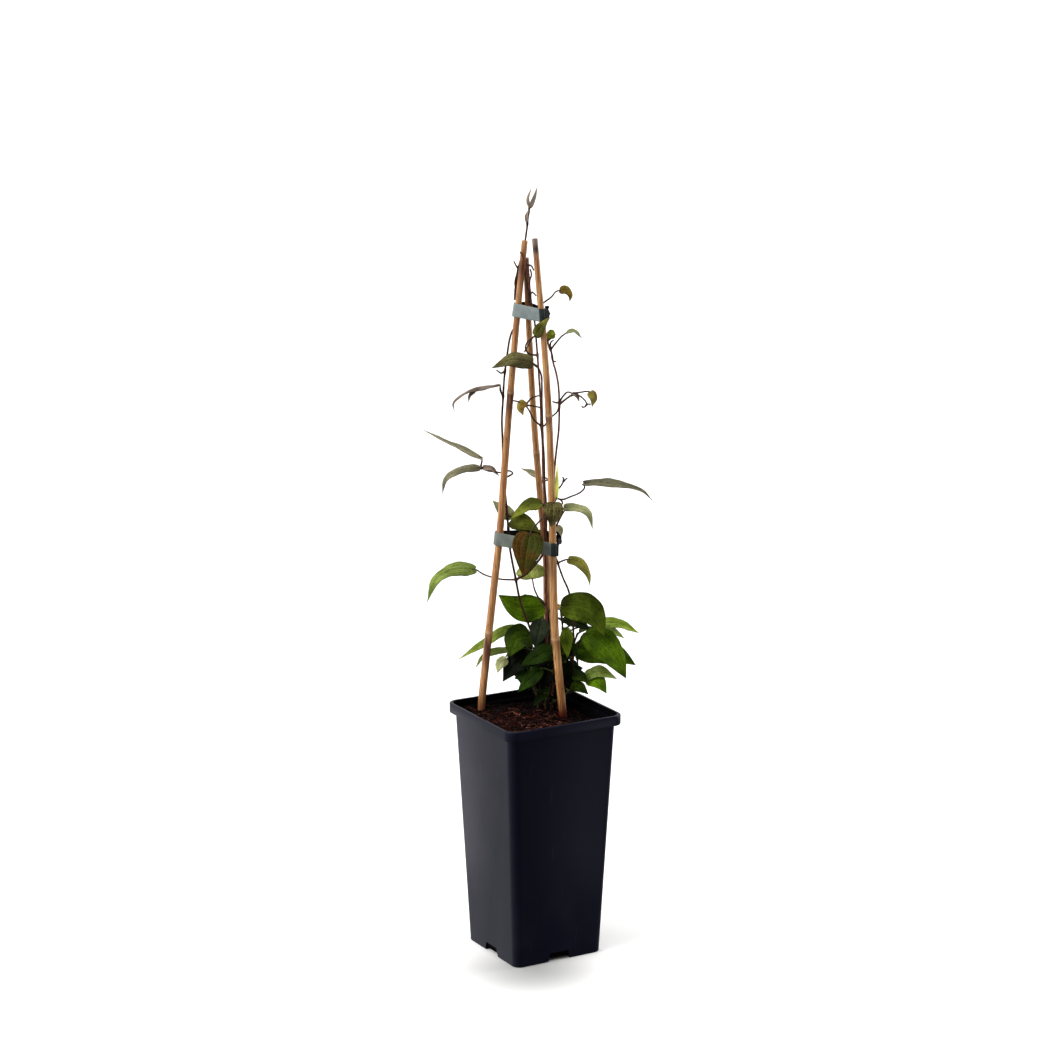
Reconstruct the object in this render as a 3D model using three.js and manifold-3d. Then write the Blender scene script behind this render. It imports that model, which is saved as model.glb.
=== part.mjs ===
// Clematis in a tall square nursery pot, climbing a tripod of three bamboo canes.
//
// Millimetres, +Z up. The origin is the middle of the pot's underside, and the pot's sides run along
// X and Y. The plant is laid out in the show frame, [across, toward, up]: the pot's frame turned so
// that "toward" points at someone who looks at one corner of the pot, with "across" to their right.
import * as THREE from 'three';
import { mergeVertices } from 'three/addons/utils/BufferGeometryUtils.js';
import Module from 'manifold-3d';

const wasm = await Module();
wasm.setup();

// ---------- driving sizes ----------

const CLEARANCE = 0.35; // between pieces that touch
const FINEST = 0.005; // what a join or cut leaves smaller than this is smoothed away
const SHOW_TURN = THREE.MathUtils.degToRad(-30);

const POT = {
  height: 220,
  rim: 57.5, // half widths
  top: 53.25,
  foot: 43.75,
  wall: 1.6,
  floor: 2,
  footBevel: 1.2,
  rimHeight: 9,
  rimWall: 2.8,
  rimRound: 0.8,
  corner: 0.17, // corner radius, as a share of the half width
  cornerSteps: 4,
};
const DRAIN = {
  slotFoot: 24,
  slotTop: 18,
  slotHeight: 8,
  slotDepth: 9,
  holeRadius: 4,
  holeSides: 10,
  holePlace: 24,
};

const SOIL = {
  level: 210,
  slope: 0.07, // it lies higher towards -X
  lump: 1.2,
  swellX: 9,
  swellY: 11,
  mound: 3, // round the crown of the plant
  moundSpread: 18,
  crown: [23, 19],
  grid: 14,
};

const CANE = { sides: 8, step: 34, ring: 0.45, ringLength: 4, ringSink: 0.2 };
const BAND = { height: 11.5, thickness: 1.3, tilt: 0.12, bend: 1.2, bendSteps: 3, play: 0.5 };

const STEM = { foot: 2.1, tip: 1.5, sides: 5, step: 16 };
const STALK = { foot: 1.5, tip: 1.1, sides: 3, step: 14 };
const TWIG = { foot: 1.3, tip: 1.1, sides: 3, step: 8 };
const ROOT_END = 190; // cut lower end of each stem, in the soil
const SOIL_CLEAR = 216; // stems stand upright up to here

const BLADE = {
  thickness: 0.7,
  fold: 0.34, // rise of the edges over the midrib, as a share of the half width
  droop: 0.24,
  wave: 0.06, // of the edges, as a share of the width
  waves: 2,
  lobe: 0.1, // how far the base runs back beside the stalk, as a share of the length
  lobeFade: 5,
  blunt: 0.85,
  drawnOut: 0.3,
  point: 0.45,
  crowding: 1.25, // the rows lie closer together at the base
  stalkReach: 0.06,
  wide: 19, // from this width on a blade is split into more parts
  long: 24,
};
const BELLY = { climber: 0.55, shoot: 0.7 };

// ---------- materials ----------

function finish(color, roughness) {
  return new THREE.MeshStandardMaterial({ color, roughness, metalness: 0 });
}

const finishes = {
  pot: finish('#1b1b24', 0.5),
  soil: finish('#4a281a', 0.95),
  bamboo: finish('#b98450', 0.6),
  clip: finish('#7f8b87', 0.45),
  climber: finish('#5a5a30', 0.6),
  foliage: finish('#3f6a18', 0.5),
};

// ---------- solids ----------

function place([across, toward, up]) {
  const cos = Math.cos(SHOW_TURN);
  const sin = Math.sin(SHOW_TURN);
  return new THREE.Vector3(across * cos + toward * sin, across * sin - toward * cos, up);
}

function curve(points) {
  return new THREE.CatmullRomCurve3(points, false, 'centripetal');
}

function solid(geometry) {
  const bare = geometry.clone();
  bare.deleteAttribute('normal');
  bare.deleteAttribute('uv');
  const merged = mergeVertices(bare, 1e-4);
  return new wasm.Manifold(new wasm.Mesh({
    numProp: 3,
    vertProperties: new Float32Array(merged.attributes.position.array),
    triVerts: new Uint32Array(merged.index.array),
    tolerance: FINEST,
  }));
}

function fuse(manifolds) {
  return manifolds.reduce((whole, piece) => whole.add(piece));
}

// The largest body alone: a loose scrap goes, and so does the wall of a hollow that fusing sealed.
function largest(manifold) {
  return manifold.decompose().reduce((a, b) => (a.volume() > b.volume() ? a : b));
}

function mesh(name, manifold, material) {
  const { vertProperties, triVerts } = manifold.getMesh();
  const geometry = new THREE.BufferGeometry();
  geometry.setAttribute('position', new THREE.BufferAttribute(vertProperties, 3));
  geometry.setIndex(new THREE.BufferAttribute(triVerts, 1));
  geometry.computeVertexNormals();
  const piece = new THREE.Mesh(geometry, material);
  piece.name = name;
  return piece;
}

function eachVertex(geometry, move) {
  const { position } = geometry.attributes;
  const vertex = new THREE.Vector3();
  for (let i = 0; i < position.count; i += 1) {
    vertex.fromBufferAttribute(position, i);
    move(vertex, i);
    position.setXYZ(i, vertex.x, vertex.y, vertex.z);
  }
  return geometry;
}

// The evenly spaced places along a smooth line through the points where a tube has its sections.
function stationsOn(points, step) {
  const path = curve(points);
  return path.getSpacedPoints(Math.max(2, Math.round(path.getLength() / step)));
}

// A round tube along the points, straight-sided or tapering, with flat ends.
function tube(points, { foot, tip, sides, step }) {
  const centres = stationsOn(points, step);
  const steps = centres.length - 1;
  const middle = new THREE.Vector2();
  const corner = (_, i) => new THREE.Vector2(foot / 2, 0).rotateAround(middle, (i / sides) * 2 * Math.PI);
  const section = new THREE.Shape(Array.from({ length: sides }, corner));
  const extrudePath = curve(points);
  const geometry = new THREE.ExtrudeGeometry(section, { steps, extrudePath, bevelEnabled: false });
  eachVertex(geometry, (vertex) => {
    const distances = centres.map((centre) => centre.distanceTo(vertex));
    const nearest = distances.indexOf(Math.min(...distances));
    const width = THREE.MathUtils.lerp(foot, tip, nearest / steps);
    vertex.sub(centres[nearest]).multiplyScalar(width / foot).add(centres[nearest]);
  });
  return solid(geometry);
}

// A lathe whose rings are rounded squares: a profile's distances from the axis are half widths.
function squareLathe(profile) {
  const quarter = (_, i) => new THREE.Vector2(1 - POT.corner, 1 - POT.corner).add(
    new THREE.Vector2(POT.corner, 0).rotateAround(new THREE.Vector2(), (i / POT.cornerSteps) * (Math.PI / 2)),
  );
  const corner = Array.from({ length: POT.cornerSteps + 1 }, quarter);
  const ring = [0, 1, 2, 3].flatMap((turn) => corner.map(
    (point) => point.clone().rotateAround(new THREE.Vector2(), turn * (Math.PI / 2)),
  ));
  const points = profile.map(([half, z]) => new THREE.Vector2(half, z));
  const lathe = new THREE.LatheGeometry(points, ring.length);
  eachVertex(lathe, (vertex, i) => {
    const { x: half, y: z } = points[i % points.length];
    const side = ring[Math.floor(i / points.length) % ring.length];
    vertex.set(side.x * half, side.y * half, z);
  });
  return solid(lathe);
}

// ---------- pot ----------

function makePot() {
  const { height, rim, top, foot, wall, floor, footBevel, rimHeight, rimWall, rimRound } = POT;
  const ledge = height - rimHeight;
  const inside = rim - rimWall;
  let pot = squareLathe([
    [0, 0], [foot - footBevel, 0], [foot, footBevel],
    [top, ledge - rimRound], [rim - rimRound, ledge], [rim, ledge + rimRound],
    [rim, height - rimRound], [rim - rimRound, height], [inside + rimRound, height],
    [inside, height - rimRound], [inside, ledge + 2 * wall], [top - wall, ledge + wall],
    [foot - wall, floor + footBevel], [foot - wall - footBevel, floor], [0, floor],
  ]);
  const { slotFoot, slotTop, slotHeight, slotDepth, holeRadius, holeSides, holePlace } = DRAIN;
  const outline = new THREE.Shape([
    new THREE.Vector2(-slotFoot / 2, -floor), new THREE.Vector2(slotFoot / 2, -floor),
    new THREE.Vector2(slotTop / 2, slotHeight), new THREE.Vector2(-slotTop / 2, slotHeight),
  ]);
  const slot = new THREE.ExtrudeGeometry(outline, { depth: slotDepth * 2, bevelEnabled: false });
  slot.rotateX(Math.PI / 2).translate(0, -(foot - slotDepth), 0);
  const drill = new THREE.CylinderGeometry(holeRadius, holeRadius, floor * 3, holeSides).rotateX(Math.PI / 2);
  drill.translate(holePlace, holePlace, floor);
  for (let turn = 0; turn < 4; turn += 1) {
    pot = pot.subtract(solid(slot)).subtract(solid(drill));
    slot.rotateZ(Math.PI / 2);
    drill.rotateZ(Math.PI / 2);
  }
  return pot;
}

// ---------- bamboo canes ----------

// Each cane stands upright in the soil and then leans in. Its joints are heights of the cane's rings.
const canes = {
  cane_left: {
    foot: 7.2,
    tip: 5.3,
    path: [
      [-48, -20.5, 125], [-48, -20.5, 170], [-47, -21, 213], [-43.3, -21.5, 253], [-37, -21, 312],
      [-31, -20, 366], [-27, -19, 420], [-22.9, -18.3, 473], [-15.6, -17, 560], [-8.7, -16, 629],
    ],
    joints: [283, 498],
  },
  cane_front: {
    foot: 7.6,
    tip: 5,
    path: [
      [27, -9.5, 125], [26.5, -9.5, 170], [25, -8.9, 208], [20.9, -6.5, 253], [17.7, -5.5, 289],
      [15.9, -5, 352], [14.6, -5, 405], [12.2, -5.5, 475], [7.3, -6.5, 549], [3.7, -7, 588],
      [-0.2, -8, 632],
    ],
    joints: [281.5, 480],
  },
  cane_back: {
    foot: 6.8,
    tip: 5,
    path: [
      [16.5, -53.5, 125], [16.5, -53.5, 170], [15.6, -53, 208], [12.6, -50.5, 262], [10.6, -49, 305],
      [9.9, -46, 342], [5.4, -42, 392], [-0.9, -36, 470], [-5.5, -29, 558], [-7.7, -24.5, 613],
    ],
    joints: [250, 441],
  },
};

function canePath({ path }) {
  return curve(path.map(place));
}

// Where a cane's axis is at a height, and which way it runs there.
function caneAt(cane, height) {
  const path = canePath(cane);
  const tries = 400;
  const shares = Array.from({ length: tries + 1 }, (_, i) => i / tries);
  const at = shares.find((share) => path.getPoint(share).z >= height);
  const radius = THREE.MathUtils.lerp(cane.foot, cane.tip, at) / 2;
  return { centre: path.getPoint(at), along: path.getTangent(at), radius };
}

function makeCane(cane) {
  const rod = tube(cane.path.map(place), { ...cane, sides: CANE.sides, step: CANE.step });
  const rings = cane.joints.map((height) => {
    const { centre, along, radius } = caneAt(cane, height);
    const half = CANE.ringLength / 2;
    const sunk = radius - CANE.ringSink;
    const profile = [[0, -half], [sunk, -half], [radius + CANE.ring, 0], [sunk, half], [0, half]];
    const ring = new THREE.LatheGeometry(profile.map(([x, y]) => new THREE.Vector2(x, y)), CANE.sides);
    ring.applyQuaternion(new THREE.Quaternion().setFromUnitVectors(new THREE.Vector3(0, 1, 0), along));
    ring.translate(centre.x, centre.y, centre.z);
    return solid(ring);
  });
  return fuse([rod, ...rings]);
}

// ---------- clips round the canes ----------

// A closed strap round the three canes, drawn out behind the front cane by its slack at "bulge".
const clips = {
  clip_lower: { height: 364, bulge: [20.5, -28] },
  clip_upper: { height: 567.5, bulge: [9.6, -15] },
};

function loop(posts, extra, Kind) {
  const outline = new Kind();
  posts.forEach(({ centre, radius }, i) => {
    const before = posts[(i + posts.length - 1) % posts.length].centre;
    const after = posts[(i + 1) % posts.length].centre;
    const start = centre.clone().sub(before).angle() - Math.PI / 2;
    const end = after.clone().sub(centre).angle() - Math.PI / 2;
    outline.absarc(centre.x, centre.y, radius + extra, start, end, false);
  });
  outline.closePath();
  return outline;
}

function makeClip({ height, bulge }) {
  const stations = [canes.cane_left, canes.cane_front, canes.cane_back].map((cane) => caneAt(cane, height));
  const flat = ({ x, y }) => new THREE.Vector2(x, y);
  const [left, front, back] = stations.map(({ centre, radius }) => (
    { centre: flat(centre), radius: radius + BAND.play }
  ));
  const slack = { centre: flat(place([...bulge, height])), radius: BAND.bend };
  const posts = [left, front, slack, back];
  const outline = loop(posts, BAND.thickness, THREE.Shape);
  outline.holes.push(loop(posts, 0, THREE.Path));
  const { height: depth, bendSteps: curveSegments } = BAND;
  const strap = new THREE.ExtrudeGeometry(outline, { depth, curveSegments, bevelEnabled: false });
  const triangle = new THREE.Triangle(...stations.map(({ centre }) => centre.clone().setZ(0)));
  const right = place([1, 0, 0]);
  const shares = new THREE.Vector3();
  eachVertex(strap, (vertex) => {
    triangle.getBarycoord(new THREE.Vector3(vertex.x, vertex.y, 0), shares);
    const rise = vertex.z - BAND.height / 2 - BAND.tilt * right.dot(new THREE.Vector3(vertex.x, vertex.y, 0));
    const lean = new THREE.Vector3();
    stations.forEach(({ along }, i) => {
      lean.addScaledVector(along, (shares.getComponent(i) * rise) / along.z);
    });
    vertex.set(vertex.x + lean.x, vertex.y + lean.y, height + rise);
  });
  return solid(strap);
}

// ---------- leafy stems ----------

// A leaf: its width, the way its upper side looks, its midrib from base to tip, and the points that
// its stalk passes on the way from the stem.
function leaf(width, face, rib, stalk = []) {
  return { width, face, rib, stalk };
}

// The half width of a leaf along its midrib, as a share of the widest: a round base and a drawn-out
// point. It is widest near a third of the way, or nearer the middle with a larger belly.
function outlineAt(along, belly) {
  const round = Math.sin(Math.PI * along ** belly) ** BLADE.blunt;
  return Math.max(0, round * (1 - BLADE.drawnOut * along ** 3));
}

function blade({ width, face, rib }, belly) {
  const spine = curve(rib.map(place));
  const length = spine.getLength();
  const across = width < BLADE.wide ? 2 : 4;
  const along = length < BLADE.long ? 4 : 5;
  const up = place(face).normalize();
  const phase = rib[0][0] + rib[0][2];
  const sheet = new THREE.PlaneGeometry(2, 1, across, along);
  eachVertex(sheet, (vertex) => {
    const side = vertex.x;
    const spread = side ** 2;
    const station = (vertex.y + 0.5) ** BLADE.crowding;
    const fullness = outlineAt(station, belly);
    const half = Math.max(BLADE.point, (width / 2) * fullness);
    const tangent = spine.getTangentAt(station);
    const normal = up.clone().addScaledVector(tangent, -up.dot(tangent)).normalize();
    const edge = tangent.clone().cross(normal);
    const back = BLADE.lobe * length * spread * (1 - station) ** BLADE.lobeFade * fullness;
    const wave = BLADE.wave * width * spread * Math.sin(2 * Math.PI * BLADE.waves * station + phase + side);
    const lift = half * (BLADE.fold * Math.abs(side) - BLADE.droop * spread) + wave * fullness;
    vertex.copy(spine.getPointAt(station)).addScaledVector(edge, half * side);
    vertex.addScaledVector(normal, lift).addScaledVector(tangent, -back);
  });
  return solid(slab(sheet, across, along));
}

// A sheet given a thickness: both faces keep the sheet's own triangles, and a rim joins them.
function slab(sheet, across, along) {
  sheet.computeVertexNormals();
  const { position, normal } = sheet.attributes;
  const count = position.count;
  const points = [1, -1].flatMap((face) => Array.from({ length: count }, (_, i) => (
    new THREE.Vector3().fromBufferAttribute(position, i).addScaledVector(
      new THREE.Vector3().fromBufferAttribute(normal, i), (face * BLADE.thickness) / 2,
    )
  )));
  const upper = Array.from(sheet.index.array);
  const lower = upper.map((i) => i + count).reverse();
  const columns = across + 1;
  const rim = [
    ...Array.from({ length: across }, (_, i) => i),
    ...Array.from({ length: along }, (_, i) => i * columns + across),
    ...Array.from({ length: across }, (_, i) => along * columns + across - i),
    ...Array.from({ length: along }, (_, i) => (along - i) * columns),
  ];
  const edge = rim.flatMap((a, i) => {
    const b = rim[(i + 1) % rim.length];
    return [a, b, a + count, b, b + count, a + count];
  });
  const geometry = new THREE.BufferGeometry().setFromPoints(points);
  geometry.setIndex([...upper, ...lower, ...edge]);
  return geometry;
}

// The point on any of the lines that is nearest to the target.
function nearestOn(lines, target) {
  const spots = lines.flatMap((stations) => stations.slice(1).map((end, i) => (
    new THREE.Line3(stations[i], end).closestPointToPoint(target, true, new THREE.Vector3())
  )));
  return spots.reduce((a, b) => (a.distanceTo(target) < b.distanceTo(target) ? a : b));
}

// A stalk leaves what carries it from its middle, and runs on a little way into its leaf.
function stalkOf({ rib, stalk }, carriers) {
  const spine = curve(rib.map(place));
  const root = nearestOn(carriers, place(stalk[0] ?? rib[0]));
  const via = stalk.map(place).filter((point) => point.distanceTo(root) > 2 * STALK.foot);
  return [root, ...via, spine.getPointAt(0), spine.getPointAt(BLADE.stalkReach)];
}

function rooted([across, toward], path) {
  const heights = [ROOT_END, (ROOT_END + SOIL_CLEAR) / 2, SOIL_CLEAR];
  return [...heights.map((up) => [across, toward, up]), ...path];
}

// Stems, the twigs on them and the leaves on both, each rooted in what was made before it.
function makeLeafyStem({ root, stems, twigs = [], leaves }, belly) {
  const paths = [rooted(root, stems[0]), ...stems.slice(1)].map((path) => path.map(place));
  const carriers = paths.map((path) => stationsOn(path, STEM.step));
  const solids = paths.map((path) => tube(path, STEM));
  twigs.forEach(([first, ...rest]) => {
    const path = [nearestOn(carriers, place(first)), ...rest.map(place)];
    solids.push(tube(path, TWIG));
    carriers.push(stationsOn(path, TWIG.step));
  });
  leaves.forEach((one) => {
    solids.push(tube(stalkOf(one, carriers), STALK), blade(one, belly));
    carriers.push(stationsOn(one.rib.map(place), STALK.step));
  });
  return largest(fuse(solids));
}

// ---------- soil ----------

// A repeatable run of numbers from 0 to 1.
function seeded(seed) {
  const cycle = 2 ** 32;
  let state = seed;
  return () => {
    state = (state * 1664525 + 1013904223) % cycle;
    return state / cycle;
  };
}

function makeSoil(holes) {
  const { top, foot, wall, floor, footBevel, height, rimHeight } = POT;
  const inset = wall + CLEARANCE;
  const base = floor + CLEARANCE;
  const bed = squareLathe([
    [0, base], [foot - inset - footBevel, base], [foot - inset, base + footBevel],
    [top - inset, height - rimHeight], [top - inset, height], [0, height],
  ]);
  const random = seeded(7);
  const relief = new THREE.BoxGeometry(2 * top, 2 * top, height, SOIL.grid, SOIL.grid, 1);
  const lumps = new Map(); // the box's top and sides meet in the same places
  eachVertex(relief, (vertex) => {
    const { x, y, z } = vertex;
    if (z < 0) return;
    const spot = `${x.toFixed(2)} ${y.toFixed(2)}`;
    if (!lumps.has(spot)) lumps.set(spot, (random() * 2 - 1) * SOIL.lump);
    const [crownX, crownY] = SOIL.crown;
    const mound = SOIL.mound * Math.exp(-((x - crownX) ** 2 + (y - crownY) ** 2) / SOIL.moundSpread ** 2);
    const swell = Math.sin(x / SOIL.swellX) * Math.cos(y / SOIL.swellY);
    vertex.z = SOIL.level - SOIL.slope * x + mound + swell + lumps.get(spot);
  });
  return largest(holes.reduce((soil, hole) => soil.subtract(hole), bed.intersect(solid(relief))));
}

// The plain hole that a cane or stem stands in: the same run, wider, and sunk by the clearance.
function boreFor(path, size) {
  const sunk = path.map(([across, toward, up]) => place([across, toward, up - CLEARANCE]));
  const wide = size.foot + 2 * CLEARANCE;
  return tube(sunk, { ...size, foot: wide, tip: wide });
}

// ---------- the plant ----------

const climbers = {
  // Up the left cane to the growing tip, with a second strand up the middle.
  vine_left: {
    root: [5, -38],
    stems: [
      [
        [5, -39, 243], [-0.5, -34, 272], [-7, -30, 291.5], [-13, -26, 310.5], [-16.5, -24, 329.5],
        [-21.5, -24, 356.5], [-23, -24, 374.5], [-24.5, -25, 393.5], [-26, -25.5, 409.5],
        [-27.5, -26, 427.5], [-28, -25, 454], [-28.5, -24, 472], [-27.5, -22, 490], [-26.5, -21, 507.5],
        [-24, -21, 528.5], [-20.5, -22, 547.5], [-13, -21.3, 562], [-12, -20.8, 575], [-15.5, -20.6, 585],
        [-17, -20.5, 592], [-15.5, -20, 599], [-13.5, -20.5, 607.5], [-11.5, -21, 614.5],
        [-9, -21, 623], [-8, -19.5, 631], [-7, -17.5, 638], [-6, -16.5, 647.5], [-5, -16, 657.5],
      ],
      [
        [-16.5, -24, 329.5], [-12.5, -23, 332], [-7.5, -21, 335.5], [0, -19, 344], [6, -17, 352.5],
        [9, -15.5, 363], [10, -14.5, 385.5], [9.5, -14.5, 403], [8.5, -14.5, 416.5], [8, -14, 439],
        [7, -13.5, 456.5], [6.5, -13, 474], [6, -12.5, 492], [6, -12.5, 505], [5.5, -12.5, 513.5],
        [3, -12.5, 519.5], [-0.5, -12, 523],
      ],
    ],
    twigs: [
      [[-13, -20, 605], [-16, -19, 607], [-18, -18, 611]],
      [[-26, -21, 516], [-29, -19, 514], [-33, -18, 517]],
      [
        [-28, -26, 420], [-23, -24.5, 422], [-19, -24, 425], [-23, -24.5, 427], [-29, -26, 425],
        [-35, -25, 426], [-41, -24, 427], [-47, -22, 430],
      ],
      [[-27, -22, 493], [-29, -22, 497], [-30, -21, 502]],
    ],
    leaves: [
      leaf(17, [-0.3, 0.5, 0.8], [[-52, -27, 338], [-68, -25, 338], [-85, -22, 331], [-94, -18, 311]],
        [[-16, -24, 329], [-30, -28, 329], [-44, -28, 333]]),
      leaf(17, [0.1, 0.75, 0.6], [[-21, -19, 383], [-8, -16, 382], [5, -14, 374]], [[-23, -23, 376]]),
      leaf(13, [0, 0.8, 0.6], [[-20, -27, 385], [-28, -29, 391], [-37, -31, 399]], [[-24, -25, 388]]),
      leaf(9, [0.3, 0.3, 0.9], [[-46, -22, 438.5], [-69, -20, 450], [-96, -14, 465]],
        [[-47, -22, 430], [-48, -22, 433]]),
      leaf(10, [-0.2, 0.5, 0.8], [[-48, -22, 430], [-66, -18, 428], [-77, -14, 421], [-80, -12, 409]],
        [[-45, -22, 429]]),
      leaf(7, [0, 0.5, 0.8], [[-45, -22, 430], [-38, -24, 429], [-31, -26, 422]], [[-47, -22, 430]]),
      leaf(9, [-0.1, 0.15, 1],
        [[-30, -20, 503], [-45, -17, 501], [-62, -13, 496], [-70, -9, 489], [-69, -8, 483]],
        [[-27, -22, 493], [-30, -21, 499]]),
      leaf(3.5, [0, 0.6, 0.8], [[-51, -16, 499], [-56, -15, 495], [-57, -14, 489]], [[-49, -16, 500]]),
      leaf(16, [-0.1, 0.75, 0.65], [[-2, -12, 524], [-19, -9, 527], [-37, -5, 521]], [[1, -12, 522]]),
      leaf(3.4, [-0.6, 0.7, 0.2], [[-5, -16, 658], [-6, -15, 665], [-3, -15, 674]], [[-6, -16, 653]]),
      leaf(4.2, [0.5, 0.8, 0.2], [[-4.4, -15.4, 657], [-1, -16, 665], [2, -16, 675]], [[-5.2, -15.4, 652]]),
      leaf(3.5, [-0.5, 0.8, 0], [[-7, -16, 645], [-7, -15, 651], [-5, -14, 656]], [[-7, -16, 643]]),
    ],
  },

  // Between the canes, ending in the knot at the top.
  vine_middle: {
    root: [9, -35],
    stems: [[
      [10.5, -35, 254], [10.5, -34, 286], [10, -32, 309], [9.5, -30, 337], [9, -27, 360], [8.5, -24.5, 378.5],
      [8.5, -24, 401], [7, -22, 428], [6.5, -20, 455], [5.5, -19, 467], [5, -18, 486.5], [4, -18, 504],
      [2.5, -17.5, 526], [1, -17.5, 545], [0, -17.5, 557], [-2, -16.5, 568.5], [-3.5, -16, 579],
      [-4.5, -15.5, 590], [-5.5, -14, 601.5], [-7, -12, 610.5], [-10, -11.5, 615.5], [-12.5, -12.5, 620],
    ]],
    twigs: [
      [[-6, -12, 609], [-3, -12, 608], [-1, -12, 604]],
      [[-5, -15, 595], [-3, -14, 600], [-4, -14, 605]],
      [[-4, -16, 583], [-2, -14, 585], [1, -14, 582]],
      [[6, -19, 467], [-1, -17, 474], [-5, -16, 482], [-8, -14, 487]],
      [[-8, -14, 488], [-14, -14, 490], [-19, -14, 491]],
      [[-8, -14, 488], [-3, -14, 493], [2, -14, 495], [4, -16, 495]],
      [[-8, -14, 487], [-2, -16, 486], [5, -18, 484]],
      [[6, -19, 467], [8, -18, 468], [10, -16, 471]],
      [[1, -18, 547], [-3, -12, 545], [-6, -6, 540], [-9, -4, 535]],
    ],
    leaves: [
      leaf(27, [-0.15, 0.95, 0.1], [[-4, 3, 378], [-7, 8, 361], [-10, 5, 340]],
        [[8, -24, 387], [5, -12, 386]]),
      leaf(15, [0, 0.5, 0.85], [[6, -20, 399], [-6, -18.5, 397], [-21, -15, 386]], [[9, -24, 395]]),
      leaf(27, [0, 0.45, 0.9], [[-2, -28, 329], [-4, -37, 336], [-5, -45, 344]],
        [[10, -32, 304], [5, -31, 309], [0, -29, 319]]),
      leaf(10, [-0.2, 0.9, 0.3], [[0.5, -6, 549], [6, 1, 558.5], [13, 2, 566.5]],
        [[1.5, -17.5, 530], [-5, -19, 531], [-8, -17, 536], [-6, -11, 543]]),
      leaf(9, [-0.4, 0.8, 0.3], [[-8, -14, 490], [-12, -12, 486], [-10, -13, 478]], [[-7, -15, 485]]),
      leaf(9, [0, 0.4, 0.9], [[5, -47.5, 416], [-3, -48, 420], [-12, -48, 424]],
        [[7, -24, 418], [11, -38, 416], [9, -46, 416]]),
    ],
  },

  // Behind the front cane, out to its right, and through the upper clip.
  vine_right: {
    root: [15, -30],
    stems: [[
      [18, -25, 246.5], [18.5, -21, 276.5], [17.5, -18, 304.5], [17, -15, 331.5], [15.5, -13.5, 354.5],
      [15, -12.5, 377], [16, -12, 399.5], [16.5, -11.5, 421.5], [17.5, -11, 437], [19, -10, 452],
      [20.5, -9, 466], [21, -8, 490], [20, -8, 506.5], [18, -9, 517], [15.5, -10.5, 525.5],
      [14, -11.5, 534], [12, -12.5, 539], [10, -13.5, 545.5], [8, -13.5, 554.5], [5, -13.5, 564.5],
      [5, -13, 576],
    ]],
    twigs: [
      [[21, -8, 490], [18, -10, 490], [15, -10, 491]],
      [[21, -8, 487], [19, -9, 482], [15, -10, 478]],
      [[14, -11, 530], [16, -10, 526], [18, -9, 526]],
      [[13, -12, 537], [14, -11, 543], [16, -10, 544]],
      [[17, -12, 410], [22, -10, 416], [25, -9, 421], [28, -9, 424]],
      [[25, -9, 420], [25, -9, 423], [24, -9, 425]],
      [
        [22, -8, 489], [27, -7, 494], [32, -6, 497], [38, -5, 497], [43, -4, 493], [45, -4, 490],
        [48, -4, 490],
      ],
      [[45, -4, 490], [42, -4, 487], [40, -4, 488]],
    ],
    leaves: [
      leaf(8, [0.3, 0.8, 0.5], [[21, -5, 588], [26.5, -3, 588.5], [30, -2, 584], [29.5, -2, 579]],
        [[5, -13, 575], [8, -11, 577], [14, -8, 582], [18, -6, 587]]),
      leaf(8, [0.2, 0.9, 0.4], [[13.5, -11, 545.5], [14, -9.5, 551], [18, -8, 549.5]], [[12, -13, 543]]),
      leaf(7, [0, 0.3, 1], [[27, -8, 551], [33, -7, 553], [40, -6, 547]],
        [[13, -12, 536], [18, -10, 542], [23, -9, 548]]),
      leaf(5, [0.4, 0.6, 0.6], [[32, -6, 499], [36, -5, 497], [38, -4, 492]],
        [[21, -8, 490], [24, -7, 496], [28, -6, 500]]),
      leaf(8, [0.3, 0.9, 0.1], [[47, -3, 501], [50, -2, 496], [49, -2, 488]],
        [[22, -8, 490], [34, -6, 499], [39, -5, 500], [44, -4, 501]]),
      leaf(17, [0, 1, 0], [[16, 2, 405], [16, 4, 395], [14, 2, 383]],
        [[16, -12, 406], [21, -11, 405], [24, -6, 403], [22, 0, 402], [18, 2, 404]]),
      leaf(11, [0, 0.45, 0.9], [[42, -2, 421], [59, 2, 422], [77, 6, 421], [93, 8, 416], [101, 8, 408]],
        [[16, -12, 406], [24, -9, 405], [31, -7, 408], [39, -5, 412], [43, -3, 417]]),
      leaf(4, [0.3, 1, 0], [[18.5, -9.5, 405], [19, -9, 422], [20, -8, 438]], [[16, -12, 402]]),
    ],
  },

  // A short climber out to the right, through the lower clip.
  vine_side: {
    root: [20, -28],
    stems: [[
      [25, -27, 230], [32, -27, 248], [34.5, -26, 265], [34, -24, 281.5], [33, -24.5, 298],
      [30, -25, 318], [24.5, -17, 333.5], [20, -13, 347.5], [17, -16.5, 356.5], [15.5, -18, 364],
      [16.5, -17, 373.5], [18.5, -14, 380],
    ]],
    leaves: [
      leaf(11, [0.2, 0.5, 0.8], [[25, -9, 398], [36, -6, 398], [46, -3, 394], [50, -1, 381]],
        [[18, -14, 380], [23, -11, 390], [26, -10, 396]]),
      leaf(10, [0.3, 0.75, 0.55], [[29, -8, 352], [39, -5, 349], [46, -3, 340], [48, -2, 330]],
        [[20, -13, 347], [24, -10, 350]]),
      leaf(6.5, [0.3, 0.9, 0.2], [[19, -13, 380], [22, -11, 377], [23, -9, 372]], [[18, -14, 379]]),
    ],
  },
};

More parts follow.
